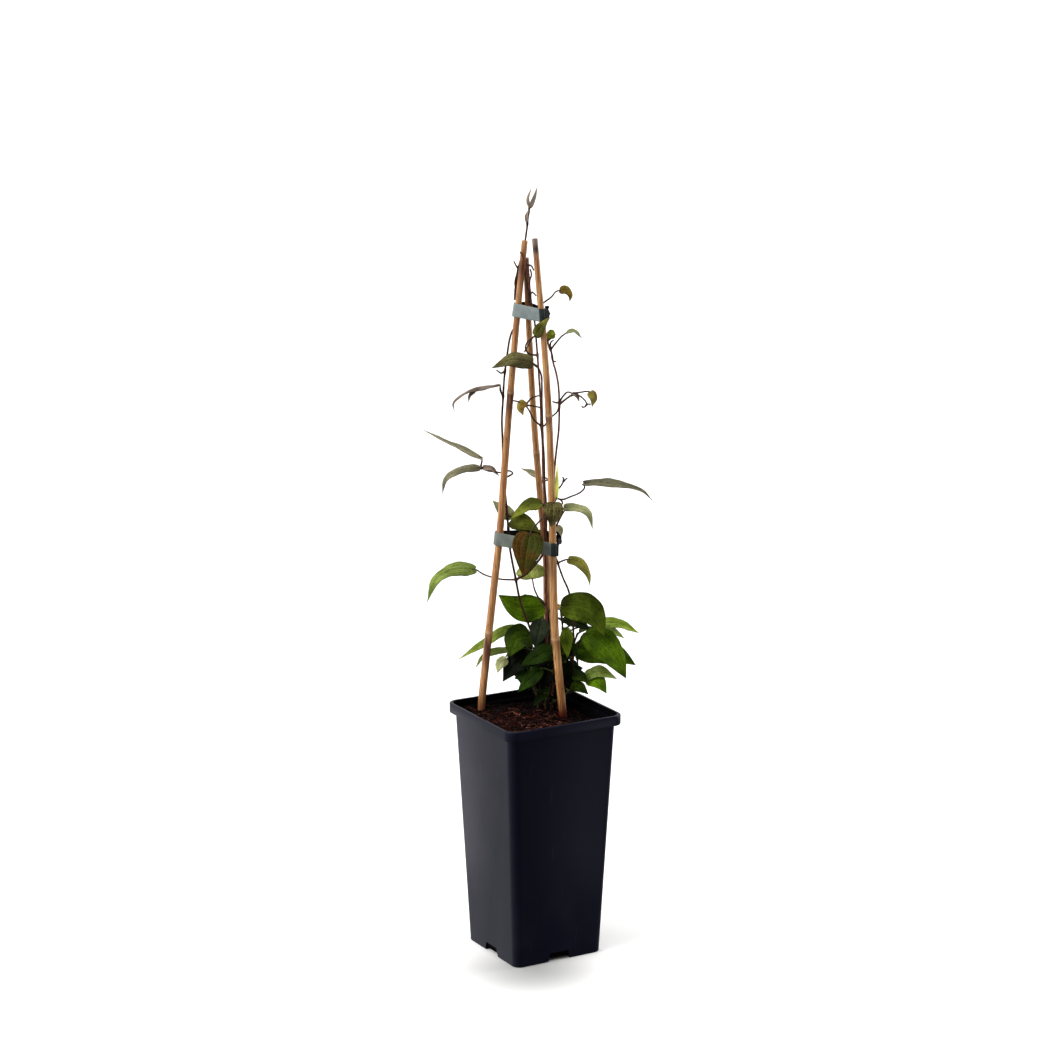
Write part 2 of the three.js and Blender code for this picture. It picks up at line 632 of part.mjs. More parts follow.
// The young shoots that crowd round the foot of the canes. The last three fill the far side.
const shoots = {
  shoot_1: {
    root: [12, -42],
    stems: [[[12.5, -41, 234.5], [13, -40, 261.5], [12.5, -40.5, 284.5], [11, -41, 300]]],
    leaves: [
      leaf(26, [0, 0.85, 0.5], [[9, -41, 300], [-13, -37, 300.5], [-32, -34, 313]]),
      leaf(18, [-0.3, 0.9, -0.1], [[7, -30, 292], [4, -25, 283], [0, -21, 269]],
        [[12, -40, 284], [8, -37, 290]]),
      leaf(15, [0.1, -0.3, 0.9], [[20, -45, 297], [27, -56, 297], [31, -70, 292]]),
    ],
  },
  shoot_2: {
    root: [4, -33],
    stems: [[[4.5, -31, 236.5], [0.5, -31, 259], [-5, -32, 274.5], [-8.5, -33, 282.5]]],
    leaves: [
      leaf(11, [-0.1, 0.6, 0.8], [[-10, -33, 284], [-26, -35, 280], [-44, -36, 269], [-67, -36, 254]]),
      leaf(26, [-0.15, 0.8, 0.55], [[-3, -30, 276], [-15, -23, 276], [-22, -16, 262]]),
      leaf(18, [-0.2, -0.3, 0.9], [[-6, -38, 277], [-13, -50, 270], [-17, -62, 262]]),
    ],
  },
  shoot_3: {
    root: [3, -28],
    stems: [[[1, -30, 227.5], [-4, -30, 244], [-8.5, -31, 254.5], [-14, -33, 261.5]]],
    leaves: [
      leaf(9, [0, 0.5, 0.9], [[-18, -34, 263], [-36, -35, 261], [-46, -35, 256], [-52, -34, 247]]),
      leaf(10, [0.2, 0.9, 0.3], [[-24, -21, 258], [-30, -17, 255.5], [-32.5, -15, 247.5]]),
      leaf(21, [-0.3, 0.8, 0.5], [[-4, -27, 259], [-16, -21, 255], [-28, -17, 239]]),
      leaf(14, [-0.2, -0.2, 0.9], [[-12, -40, 254], [-20, -50, 246], [-25, -58, 236]]),
    ],
  },
  shoot_4: {
    root: [10, -24],
    stems: [[[13.5, -20, 230], [17, -15.5, 251], [22, -16, 271.5], [26, -17.6, 287]]],
    leaves: [
      leaf(17, [0, 0.8, 0.6], [[18, -14, 268], [6, -13, 265], [-12, -10, 255]]),
      leaf(15, [-0.2, 0.85, 0.5], [[6, -18, 251], [-4, -14, 242], [-15, -10, 231]]),
      leaf(8, [-0.2, 0.8, 0.5], [[9, -19, 227.5], [4, -15, 224], [-1, -11, 218]]),
      leaf(15, [-0.1, 0.9, 0.3], [[12, -19, 254], [10, -16, 244], [6, -14, 232]], [[14, -20, 240]]),
      leaf(13, [0.3, 0.9, 0.2], [[27, -19, 257], [29.5, -20, 246], [29, -20, 232]],
        [[17, -16, 248], [21, -17, 252]]),
      leaf(12, [-0.2, 0.95, 0.1], [[28, -17, 288], [28, -13.5, 276], [29, -12.5, 262]]),
      leaf(6, [0.4, 0.8, 0], [[31, -17, 276], [36, -15, 267], [38, -14, 256]]),
    ],
  },
  shoot_5: {
    root: [15, -37],
    stems: [[[20.5, -41, 233.5], [24, -43, 260.5], [24.5, -43, 283.5], [23, -43, 297]]],
    leaves: [
      leaf(28, [0.1, 0.85, 0.5], [[23, -14.5, 307], [36, -12, 308.5], [50, -9, 303.5], [61, -7, 283.5]],
        [[23, -42, 297], [24, -28, 303]]),
      leaf(16, [0, 0.5, 0.85], [[27, -38, 293], [37, -32, 289], [49, -29, 283]]),
      leaf(12, [0.1, 0.6, 0.8], [[55, -47, 284], [74, -46, 284], [92, -44, 276]],
        [[26, -44, 280], [42, -50, 285]]),
      leaf(10, [0.1, 0.6, 0.8], [[56, -42, 281], [68, -40, 279], [79, -38, 273]],
        [[26, -43, 275], [40, -45, 281]]),
      leaf(19, [0.1, -0.3, 0.9], [[22, -50, 288], [27, -64, 282], [33, -78, 273]]),
    ],
  },
  shoot_6: {
    root: [19, -34],
    stems: [[[25, -33.5, 230], [32, -34, 251], [37.5, -32, 267], [41.5, -29, 276.5]]],
    leaves: [
      leaf(30, [0.15, 0.75, 0.65], [[44, -25, 281], [58, -17, 273.5], [70, -11, 262], [80, -7, 245]]),
      leaf(26, [0.1, 0.9, 0.4], [[35, -33, 263], [58, -31, 264], [75, -30, 259], [89, -28, 251]]),
    ],
  },
  shoot_7: {
    root: [15, -24],
    stems: [[[24, -22, 222.5], [33, -20, 232], [40, -19, 240]]],
    leaves: [
      leaf(14, [0, 0.6, 0.8], [[43, -20, 242], [57, -16, 248], [72, -12, 243]]),
      leaf(15, [0.1, 0.8, 0.6], [[45, -17, 241], [55, -12, 241], [63, -8, 231]]),
      leaf(11, [0, 0.8, 0.6], [[32, -17, 234], [39, -12, 235.5], [47, -8, 230]]),
      leaf(11, [0.1, 0.8, 0.5], [[33, -14.5, 244], [39, -11, 246], [46.5, -8, 240.5]], [[39, -19.2, 239]]),
    ],
  },
  shoot_8: {
    root: [4, -44],
    stems: [[[2, -47, 236], [-3, -53, 256], [-6, -57, 272]]],
    leaves: [
      leaf(16, [-0.2, -0.5, 0.8], [[-8, -60, 272], [-16, -72, 272], [-22, -84, 262]]),
      leaf(15, [-0.6, -0.3, 0.8], [[-6, -56, 258], [-18, -60, 256], [-29, -60, 246]]),
      leaf(14, [0.2, -0.6, 0.8], [[0, -54, 248], [2, -66, 246], [0, -78, 236]]),
    ],
  },
  shoot_9: {
    root: [11, -48],
    stems: [[[8, -52, 238], [7, -58, 260], [8, -65, 280]]],
    leaves: [
      leaf(17, [0, -0.5, 0.8], [[9, -69, 283], [9, -82, 283], [6, -95, 273]]),
      leaf(16, [0.3, -0.5, 0.8], [[11, -63, 266], [20, -75, 264], [28, -87, 252]]),
      leaf(14, [-0.3, -0.4, 0.8], [[4, -60, 260], [-4, -70, 260], [-11, -80, 250]]),
    ],
  },
  shoot_10: {
    root: [19, -42],
    stems: [[[24, -46, 236], [32, -52, 256], [38, -56, 272]]],
    leaves: [
      leaf(18, [0.3, -0.4, 0.8], [[41, -58, 273], [52, -66, 274], [62, -72, 262]]),
      leaf(15, [0.5, 0, 0.9], [[38, -52, 262], [52, -52, 262], [64, -54, 252]]),
      leaf(15, [0, -0.6, 0.8], [[33, -56, 256], [34, -70, 254], [33, -84, 242]]),
    ],
  },
};

// ---------- assembly ----------

const plant = { ...climbers, ...shoots };
const bores = [
  ...Object.values(canes).map((cane) => boreFor(cane.path, { ...cane, sides: CANE.sides, step: CANE.step })),
  ...Object.values(plant).map(({ root, stems }) => boreFor(rooted(root, stems[0]), STEM)),
];

const clematis = new THREE.Group();
clematis.add(mesh('pot', makePot(), finishes.pot));
clematis.add(mesh('soil', makeSoil(bores), finishes.soil));
Object.entries(canes).forEach(([name, cane]) => clematis.add(mesh(name, makeCane(cane), finishes.bamboo)));
Object.entries(clips).forEach(([name, clip]) => clematis.add(mesh(name, makeClip(clip), finishes.clip)));
Object.entries(climbers).forEach(([name, stem]) => {
  clematis.add(mesh(name, makeLeafyStem(stem, BELLY.climber), finishes.climber));
});
Object.entries(shoots).forEach(([name, stem]) => {
  clematis.add(mesh(name, makeLeafyStem(stem, BELLY.shoot), finishes.foliage));
});

export default clematis;
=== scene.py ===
# %% [markdown]
# # A clematis in its pot, on a tripod of bamboo canes
#
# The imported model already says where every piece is: the pot, the soil, three canes, two clips, four
# climbing stems and ten young shoots. Here each piece gets the finer shape and the finish of the real
# one. Every piece is worked out in millimetres and scaled to metres when it is finished, so that the
# numbers below can be held against a ruler.

import math
import random
from bisect import bisect_left

import bmesh
import bpy
from mathutils import Matrix, Vector, noise


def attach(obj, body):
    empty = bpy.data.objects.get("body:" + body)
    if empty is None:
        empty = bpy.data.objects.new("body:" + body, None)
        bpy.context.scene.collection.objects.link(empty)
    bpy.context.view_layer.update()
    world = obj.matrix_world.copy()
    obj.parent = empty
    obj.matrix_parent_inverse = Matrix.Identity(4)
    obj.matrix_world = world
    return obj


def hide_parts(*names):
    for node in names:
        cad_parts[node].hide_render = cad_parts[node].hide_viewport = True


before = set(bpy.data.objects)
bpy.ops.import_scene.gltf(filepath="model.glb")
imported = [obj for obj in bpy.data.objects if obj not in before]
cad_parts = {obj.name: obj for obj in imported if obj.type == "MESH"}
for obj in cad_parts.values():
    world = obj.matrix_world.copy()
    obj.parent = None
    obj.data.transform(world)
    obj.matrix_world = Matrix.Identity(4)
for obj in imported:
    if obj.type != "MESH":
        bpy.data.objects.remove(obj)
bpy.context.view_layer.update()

MM = 0.001
random.seed(11)

# %% [markdown]
# ## The show frame
#
# The pot stands square to X and Y, but the plant was laid out by someone who looks at one corner of
# it. Their own directions are easier to think in: across to their right, toward them, and up. The
# model's places are written that way too, so one small function turns them into X, Y and Z.

# %% Turn show places into the pot's own directions
SHOW_TURN = math.radians(-30)
ACROSS = Vector((math.cos(SHOW_TURN), math.sin(SHOW_TURN), 0))
TOWARD = Vector((math.sin(SHOW_TURN), -math.cos(SHOW_TURN), 0))
UP = Vector((0, 0, 1))


def show(place):
    across, toward, up = place
    return across * ACROSS + toward * TOWARD + up * UP


# %% [markdown]
# ## Camera
#
# A long lens from about 2.7 m away keeps the canes straight and the rim of the pot only a little
# open. The camera looks down by 13 degrees, as one does on a plant that stands on a low table.

# %% Set the camera
VIEW_AZIMUTH = math.radians(-29.7)
VIEW_ELEVATION = math.radians(13.3)
VIEW_DISTANCE, LENS, AIM_LEFT, AIM_HEIGHT = 2695, 107.04, 8.4, 384.4
AIM = Vector((-AIM_LEFT * math.cos(VIEW_AZIMUTH), -AIM_LEFT * math.sin(VIEW_AZIMUTH), AIM_HEIGHT))

back = Vector((
    math.sin(VIEW_AZIMUTH) * math.cos(VIEW_ELEVATION),
    -math.cos(VIEW_AZIMUTH) * math.cos(VIEW_ELEVATION),
    math.sin(VIEW_ELEVATION),
))
camera = bpy.data.objects.new("camera", bpy.data.cameras.new("camera"))
camera.data.sensor_width = 36
camera.data.lens = LENS
camera.location = (AIM + back * VIEW_DISTANCE) * MM
camera.rotation_euler = (-back).to_track_quat("-Z", "Y").to_euler()
bpy.context.scene.collection.objects.link(camera)
bpy.context.scene.camera = camera
print("camera at", [round(x, 3) for x in camera.location])

# %% [markdown]
# ## Smooth lines
#
# Stems, midribs and canes all follow smooth lines through a few chosen points. A centripetal
# Catmull-Rom line passes through every point and never loops where two of them lie close together,
# so it suits listed points. The line is walked by its length, which keeps steps even.


# %% Walk a smooth line
class Line:
    """A smooth line through points. Shares from 0 to 1 are parts of its length."""

    CUTS = 200

    def __init__(self, points):
        points = [Vector(point) for point in points]
        padded = [2 * points[0] - points[1], *points, 2 * points[-1] - points[-2]]
        spans = len(points) - 1
        self.spots = []
        for cut in range(self.CUTS + 1):
            place = min(cut * spans / self.CUTS, spans - 1e-6)
            first = int(place)
            self.spots.append(self.between(padded[first:first + 4], place - first))
        self.walked = [0.0]
        for start, end in zip(self.spots, self.spots[1:]):
            self.walked.append(self.walked[-1] + (end - start).length)
        self.length = self.walked[-1]

    @staticmethod
    def between(four, share):
        before, start, end, after = four
        gaps = [math.sqrt((b - a).length) for a, b in zip(four, four[1:])]
        leave = (start - before) / gaps[0] - (end - before) / (gaps[0] + gaps[1])
        arrive = (after - end) / gaps[2] - (after - start) / (gaps[1] + gaps[2])
        chord = (end - start) / gaps[1]
        out, into = (leave + chord) * gaps[1], (arrive + chord) * gaps[1]
        return (
            start + out * share + (3 * (end - start) - 2 * out - into) * share**2
            + (2 * (start - end) + out + into) * share**3
        )

    def at(self, share):
        walked = min(max(share, 0), 1) * self.length
        k = min(max(bisect_left(self.walked, walked), 1), self.CUTS)
        low, high = self.walked[k - 1], self.walked[k]
        return self.spots[k - 1].lerp(self.spots[k], (walked - low) / max(high - low, 1e-9))

    def along(self, share, reach=0.004):
        return (self.at(share + reach) - self.at(share - reach)).normalized()

    def steps(self, size):
        count = max(2, round(self.length / size))
        return [self.at(k / count) for k in range(count + 1)]


def nearest_on(lines, target):
    return min((spot for line in lines for spot in line), key=lambda spot: (spot - target).length)


# %% [markdown]
# ## Finishing a piece
#
# Every piece ends the same way. Its mesh is scaled to metres with the object left at the origin, it
# gets its materials, it rides on the one body of the part, and the node of the model that it stands
# for is hidden.


# %% Finish a piece
def finish_piece(name, bm, materials, node, slot, smooth=40):
    bmesh.ops.transform(bm, matrix=Matrix.Scale(MM, 4), verts=bm.verts)
    mesh = bpy.data.meshes.new(name)
    bm.to_mesh(mesh)
    bm.free()
    for material in materials:
        mesh.materials.append(material)
    mesh.shade_smooth()
    mesh.set_sharp_from_angle(angle=math.radians(smooth))
    piece = bpy.data.objects.new(name, mesh)
    bpy.context.scene.collection.objects.link(piece)
    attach(piece, "root")
    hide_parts(node)
    print(f"{name}: {len(mesh.polygons)} faces")
    return piece


# %% [markdown]
# ## Materials
#
# Each material is a small tree of nodes round Blender's Principled shader. One helper adds a node
# with its settings and its links. Another turns the hex of a colour as the eye reads it into the
# linear numbers that light works with. Patterns read Object coordinates, which are in metres here,
# so the scale of a noise is one over its grain in metres.


# %% Helpers for materials
def linear(code):
    parts = [int(code[k:k + 2], 16) / 255 for k in (1, 3, 5)]
    return (*[c / 12.92 if c <= 0.04045 else ((c + 0.055) / 1.055) ** 2.4 for c in parts], 1)


def pick(sockets, key):
    """A socket by its number, or the one in use that has a name."""
    if isinstance(key, int):
        return sockets[key]
    return next(s for s in sockets if s.enabled and s.name == key)


def link(tree, node, **links):
    """Links sources into a node. Factor=noise feeds the socket Factor, and n1=noise the second one."""
    for key, source in links.items():
        key = int(key[1:]) if key[1:].isdigit() else key.replace("_", " ")
        if isinstance(source, bpy.types.Node):
            source = next(s for s in source.outputs if s.enabled)
        tree.links.new(source, pick(node.inputs, key))
    return node


def add(tree, kind, settings=None, **links):
    """Adds a node with its settings, by property or socket, and its links. A hex code is a colour."""
    node = tree.nodes.new("ShaderNode" + kind)
    for key, value in (settings or {}).items():
        if isinstance(key, str) and hasattr(node, key):
            setattr(node, key, value)
        else:
            pick(node.inputs, key).default_value = linear(value) if isinstance(value, str) else value
    return link(tree, node, **links)


def new_material(name, **values):
    """A material, its tree, its shader with values on its sockets, and the Object coordinates."""
    material = bpy.data.materials.new(name)
    material.use_nodes = True
    tree = material.node_tree
    shader = tree.nodes["Principled BSDF"]
    for key, value in values.items():
        shader.inputs[key.replace("_", " ")].default_value = value
    return material, tree, shader, add(tree, "TexCoord").outputs["Object"]


COLOUR = {"data_type": "RGBA"}
SMOOTH = {"interpolation_type": "SMOOTHSTEP"}


def grain(size_mm, detail=3.0):
    """Settings for a noise whose grains are about size_mm across."""
    return {"Scale": 1 / (size_mm * MM), "Detail": detail}


# %% [markdown]
# ## The pot
#
# A tall square nursery pot, injection moulded in black polypropylene: thin walls that lean out, a
# folded rim, and feet left between slots so that water can run off. A square cap whose corners are
# bevelled round is pushed along the pot's profile, outside and then inside, so that the wall is one
# closed skin, and the slots and holes are cut out of it at the end.

# %% Push a rounded square along the pot's profile
POT_HEIGHT, RIM, TOP, FOOT = 220, 57.5, 53.25, 43.75
WALL, FLOOR, RIM_HEIGHT, RIM_WALL = 1.6, 2, 9, 2.8
CORNER, CORNER_SEGMENTS = 0.17, 9
FOOT_ROUND, LIP_ROUND, LIP_STEPS = 1.2, 0.8, 4
LEDGE = POT_HEIGHT - RIM_HEIGHT
INSIDE = RIM - RIM_WALL


def lip(half, z, start, turn, radius=LIP_ROUND):
    """A rounded edge of the profile: part of a circle round (half, z), in degrees."""
    angles = [math.radians(start + turn * k / LIP_STEPS) for k in range(LIP_STEPS + 1)]
    return [(half + radius * math.cos(a), z + radius * math.sin(a)) for a in angles]


profile = [
    (FOOT - FOOT_ROUND, 0), *lip(FOOT - FOOT_ROUND, FOOT_ROUND, -90, 90, FOOT_ROUND),
    (TOP, LEDGE - LIP_ROUND), (TOP + 0.3, LEDGE - 0.1),
    *lip(RIM - LIP_ROUND, LEDGE + LIP_ROUND, -90, 90),
    *lip(RIM - LIP_ROUND, POT_HEIGHT - LIP_ROUND, 0, 90),
    *lip(INSIDE + LIP_ROUND, POT_HEIGHT - LIP_ROUND, 90, 90),
    (INSIDE, LEDGE + 2 * WALL), (TOP - WALL, LEDGE + WALL),
    (FOOT - WALL, FLOOR + FOOT_ROUND), (FOOT - WALL - FOOT_ROUND, FLOOR),
]


def rounded_square(bm, half, z):
    """A square face at a height, its corners bevelled round."""
    made = bmesh.ops.create_circle(bm, cap_ends=True, segments=4, radius=half * math.sqrt(2))
    ring = made["verts"]
    bmesh.ops.rotate(bm, verts=ring, cent=(0, 0, 0), matrix=Matrix.Rotation(math.pi / 4, 3, "Z"))
    bmesh.ops.translate(bm, verts=ring, vec=(0, 0, z))
    bmesh.ops.bevel(
        bm, geom=ring, offset=half * CORNER, offset_type="OFFSET", segments=CORNER_SEGMENTS,
        profile=0.5, affect="VERTICES", material=-1,
    )
    return bm.faces[:][0]


pot = bmesh.new()
cap = rounded_square(pot, *profile[0])
bottom = cap.copy()
bottom.normal_flip()
for (half, z), (next_half, next_z) in zip(profile, profile[1:]):
    cap = bmesh.ops.extrude_discrete_faces(pot, faces=[cap])["faces"][0]
    grow = next_half / half
    bmesh.ops.scale(pot, verts=cap.verts, vec=(grow, grow, 1))
    bmesh.ops.translate(pot, verts=cap.verts, vec=(0, 0, next_z - z))
bmesh.ops.remove_doubles(pot, verts=pot.verts, dist=1e-4)
bmesh.ops.recalc_face_normals(pot, faces=pot.faces)
print("pot skin closed:", all(edge.is_manifold for edge in pot.edges), "volume cm3",
      round(pot.calc_volume() / 1000, 1))

# %% Cut the drain slots and holes
SLOT_FOOT, SLOT_TOP, SLOT_HEIGHT, SLOT_DEPTH = 24, 18, 8, 9
HOLE_RADIUS, HOLE_PLACE, HOLE_SIDES = 4, 24, 24


def cut_with(bm, cutter):
    """What is left of a mesh when another is taken away."""
    objects = []
    for part in (bm, cutter):
        mesh = bpy.data.meshes.new("cut")
        part.to_mesh(mesh)
        objects.append(bpy.data.objects.new("cut", mesh))
        bpy.context.scene.collection.objects.link(objects[-1])
    modifier = objects[0].modifiers.new("cut", "BOOLEAN")
    modifier.object, modifier.operation, modifier.solver = objects[1], "DIFFERENCE", "EXACT"
    depsgraph = bpy.context.evaluated_depsgraph_get()
    left = bpy.data.meshes.new_from_object(objects[0].evaluated_get(depsgraph))
    bm.clear()
    bm.from_mesh(left)
    for part in objects:
        bpy.data.objects.remove(part)


cutter = bmesh.new()
for turn in range(4):
    turned = Matrix.Rotation(turn * math.pi / 2, 4, "Z")
    slot = bmesh.ops.create_cube(cutter, size=1)["verts"]
    for vert in slot:
        narrow = SLOT_TOP / SLOT_FOOT if vert.co.z > 0 else 1
        height = SLOT_HEIGHT if vert.co.z > 0 else -FLOOR
        vert.co = (vert.co.x * SLOT_FOOT * narrow, -FOOT + vert.co.y * SLOT_DEPTH * 2, height)
    hole = bmesh.ops.create_cone(
        cutter, cap_ends=True, segments=HOLE_SIDES, radius1=HOLE_RADIUS, radius2=HOLE_RADIUS,
        depth=FLOOR * 3,
    )["verts"]
    bmesh.ops.translate(cutter, verts=hole, vec=(HOLE_PLACE, HOLE_PLACE, FLOOR))
    bmesh.ops.transform(cutter, matrix=turned, verts=slot + hole)
cut_with(pot, cutter)
cutter.free()
print("pot after its slots: volume cm3", round(pot.calc_volume() / 1000, 1))

# %% [markdown]
# ## Black polypropylene
#
# Moulded polypropylene is a dull, slightly waxy plastic. Its black has a little blue in it, and the
# fine texture of the mould spreads the light. Handling leaves thin pale scratches that run up and
# down, and dust from potting greys the lower part. Both are pattern, too fine to be shape.

# %% Make the pot's plastic, outside and in
def pot_plastic(name, dark, dusty, gloss, smooth, dull):
    material, tree, shader, place = new_material(
        name, IOR=1.49, Specular_IOR_Level=gloss, Specular_Tint=linear("#dcdcf4"),
    )
    clouds = add(tree, "TexNoise", grain(30, 5), Vector=place)
    height_up = add(tree, "SeparateXYZ", None, Vector=place).outputs["Z"]
    low_down = add(tree, "MapRange", {**SMOOTH, 1: 0.0, 2: 0.14, 3: 1.0, 4: 0.2}, n0=height_up)
    dust = add(tree, "MapRange", {**SMOOTH, 1: 0.42, 2: 0.8}, n0=clouds)
    dust = add(tree, "Math", {"operation": "MULTIPLY"}, n0=dust, n1=low_down)
    tone = add(tree, "Mix", {**COLOUR, "A": dark, "B": dusty}, Factor=dust)
    upright = add(tree, "Mapping", {"Scale": (1, 1, 0.04)}, Vector=place)
    scratches = add(tree, "TexNoise", grain(2.5, 2), Vector=upright)
    scratches = add(tree, "MapRange", {**SMOOTH, 1: 0.68, 2: 0.76, 4: 0.07}, n0=scratches)
    tone = add(tree, "Mix", {**COLOUR, "B": "#6c6c76"}, Factor=scratches, A=tone)
    rough = add(tree, "MapRange", {1: 0.3, 2: 0.8, 3: smooth, 4: dull}, n0=clouds)
    mould = add(tree, "TexNoise", grain(0.7, 2), Vector=place)
    bump = add(tree, "Bump", {"Distance": 0.05 * MM, "Strength": 0.25}, Height=mould)
    link(tree, shader, Base_Color=tone, Roughness=rough, Normal=bump)
    return material


plastic = pot_plastic("moulded black polypropylene", "#0a0a1a", "#121220", 0.17, 0.34, 0.42)
# Inside, the plastic is painted near black as the shade in the pot's hollow, and made rough and dull as
# by a film of wet soil.
soiled_and_shaded = pot_plastic("polypropylene dulled by wet soil", "#050406", "#0a0706", 0.03, 0.8, 0.95)
for face in pot.faces:
    across = face.calc_center_median().to_2d()
    outside = face.normal.to_2d().dot(across) > -0.2 * across.length
    face.material_index = 0 if outside else 1

pot = finish_piece("pot_moulding", pot, [plastic, soiled_and_shaded], "pot", "pot", smooth=35)

# %% [markdown]
# ## The soil
#
# Potting mix is bark, coir and peat. Its surface has three scales: slow swells left by watering,
# lumps of a few millimetres, and loose chips and fibres on top. The swells and lumps are shape in
# one closed body that fills the pot, and the chips and fibres are pieces of their own.

# %% Raise the bed of soil
SOIL_LEVEL, SOIL_SLOPE, SOIL_SWELL_X, SOIL_SWELL_Y = 210, 0.07, 9, 11
MOUND, MOUND_SPREAD, CROWN = 3, 18, Vector((23, 19))
LUMP, LUMP_HEIGHT, CRUMB, CRUMB_HEIGHT = 7, 1.5, 1.3, 0.5
SOIL_CLEAR_OF_WALL, BED_CELLS = 0.35, 130
BED_WAIST, BED_BOTTOM = 150, FLOOR + 0.4


def soil_half(z):
    """The half width of the space in the pot at a height, less a hair's breadth."""
    return FOOT + (TOP - FOOT) * min(z / LEDGE, 1) - WALL - SOIL_CLEAR_OF_WALL


SOIL_HALF = soil_half(LEDGE)
SOIL_ARC = SOIL_HALF * CORNER


def soil_height(x, y):
    mound = MOUND * math.exp(-(Vector((x, y)) - CROWN).length_squared / MOUND_SPREAD**2)
    swell = math.sin(x / SOIL_SWELL_X) * math.cos(y / SOIL_SWELL_Y)
    lumps = noise.fractal(Vector((x, y, 0)) / LUMP, 0.9, 2.1, 5) * LUMP_HEIGHT
    crumbs = noise.noise(Vector((x, y, 5)) / CRUMB) * CRUMB_HEIGHT
    return SOIL_LEVEL - SOIL_SLOPE * x + mound + swell + lumps + crumbs


def inside_corner(x, y):
    """A place in the square, moved in if it lies outside a rounded corner."""
    middle = SOIL_HALF - SOIL_ARC
    out = Vector((max(abs(x) - middle, 0), max(abs(y) - middle, 0)))
    if out.x and out.y and out.length > SOIL_ARC:
        out *= SOIL_ARC / out.length
        return math.copysign(middle + out.x, x), math.copysign(middle + out.y, y)
    return x, y


bed = bmesh.new()
bmesh.ops.create_grid(bed, x_segments=BED_CELLS, y_segments=BED_CELLS, size=SOIL_HALF)
for vert in bed.verts:
    x, y = inside_corner(vert.co.x, vert.co.y)
    vert.co = (x, y, soil_height(x, y))
edge = [edge for edge in bed.edges if edge.is_boundary]
level = LEDGE
for z in (BED_WAIST, BED_BOTTOM):
    grown = bmesh.ops.extrude_edge_only(bed, edges=edge)["geom"]
    edge = [item for item in grown if isinstance(item, bmesh.types.BMEdge)]
    shrink = soil_half(z) / soil_half(level)
    for vert in {vert for item in edge for vert in item.verts}:
        vert.co = (vert.co.x * shrink, vert.co.y * shrink, z)
    level = z
bmesh.ops.contextual_create(bed, geom=edge)
bmesh.ops.recalc_face_normals(bed, faces=bed.faces)
print("soil bed closed:", all(edge.is_manifold for edge in bed.edges), "litres",
      round(bed.calc_volume() / 1e6, 2))

# %% [markdown]
# ## Coir, bark and peat
#
# Coir fibres are stiff brown hairs from a coconut's husk, up to two centimetres long. A few short
# steps are enough for one fibre, and a curve's own round bevel gives it thickness, so all of them are
# drawn as one curve object and made a mesh together. Bark comes as flat flakes: small cubes with
# their corners pulled about, squashed and turned at random.


# %% Draw many strands as one mesh
def strands_mesh(strands, resolution):
    """One mesh of round strands. Each strand is its points and, for each point, its radius in mm."""
    curve = bpy.data.curves.new("strands", "CURVE")
    curve.dimensions = "3D"
    curve.bevel_depth = 1
    curve.bevel_resolution = resolution
    curve.use_fill_caps = True
    for points, radii in strands:
        spline = curve.splines.new("POLY")
        spline.points.add(len(points) - 1)
        for spot, point, radius in zip(spline.points, points, radii):
            spot.co = (*point, 1)
            spot.radius = radius
    holder = bpy.data.objects.new("strands", curve)
    bpy.context.scene.collection.objects.link(holder)
    bpy.context.view_layer.update()
    depsgraph = bpy.context.evaluated_depsgraph_get()
    mesh = bpy.data.meshes.new_from_object(holder.evaluated_get(depsgraph))
    bpy.data.objects.remove(holder)
    bm = bmesh.new()
    bm.from_mesh(mesh)
    bmesh.ops.remove_doubles(bm, verts=bm.verts, dist=1e-4)
    return bm


# %% Scatter coir fibres over the soil
FIBRES, FIBRE_STEPS, FIBRE_LENGTHS = 1500, 5, (4, 6, 8, 12, 18)


def on_soil(x, y, lift=0.0):
    x, y = inside_corner(max(-SOIL_HALF, min(SOIL_HALF, x)), max(-SOIL_HALF, min(SOIL_HALF, y)))
    return Vector((x, y, soil_height(x, y) + lift))


fibres = []
reach = SOIL_HALF - 2
for _ in range(FIBRES):
    x, y = random.uniform(-reach, reach), random.uniform(-reach, reach)
    heading = random.uniform(0, 2 * math.pi)
    size = random.choice(FIBRE_LENGTHS)
    bend = random.uniform(-0.5, 0.5)
    arch = random.uniform(0.2, 1.6)
    thick = random.uniform(0.14, 0.4)
    points = []
    for k in range(FIBRE_STEPS + 1):
        lift = arch * math.sin(math.pi * k / FIBRE_STEPS) - 0.1
        points.append(on_soil(x, y, lift))
        heading += bend + random.uniform(-0.35, 0.35)
        x += size / FIBRE_STEPS * math.cos(heading)
        y += size / FIBRE_STEPS * math.sin(heading)
        if abs(x) > reach or abs(y) > reach:
            heading += math.pi / 2
            x, y = max(-reach, min(reach, x)), max(-reach, min(reach, y))
    thinner = [0.5 * abs(2 * k / FIBRE_STEPS - 1) for k in range(FIBRE_STEPS + 1)]
    fibres.append((points, [thick * (1 - less) for less in thinner]))
fibre_mesh = strands_mesh(fibres, 0)

# %% Scatter flakes of bark
FLAKES, FLAKE_SIZES = 900, (1.2, 1.6, 2.2, 3, 4.5)
flakes = bmesh.new()
for _ in range(FLAKES):
    x, y = random.uniform(-reach, reach), random.uniform(-reach, reach)
    size = random.choice(FLAKE_SIZES)
    flake = bmesh.ops.create_cube(flakes, size=1)["verts"]
    for vert in flake:
        vert.co += Vector([random.uniform(-0.22, 0.22) for _ in range(3)])
    bmesh.ops.scale(flakes, verts=flake, vec=(size, size * random.uniform(0.35, 0.8), size * 0.28))
    turn = Matrix.Rotation(random.uniform(0, 2 * math.pi), 3, "Z")
    tilt = Matrix.Rotation(random.uniform(-0.6, 0.6), 3, "X")
    bmesh.ops.rotate(flakes, verts=flake, cent=(0, 0, 0), matrix=turn @ tilt)
    bmesh.ops.translate(flakes, verts=flake, vec=on_soil(x, y, random.uniform(0, 0.5)))
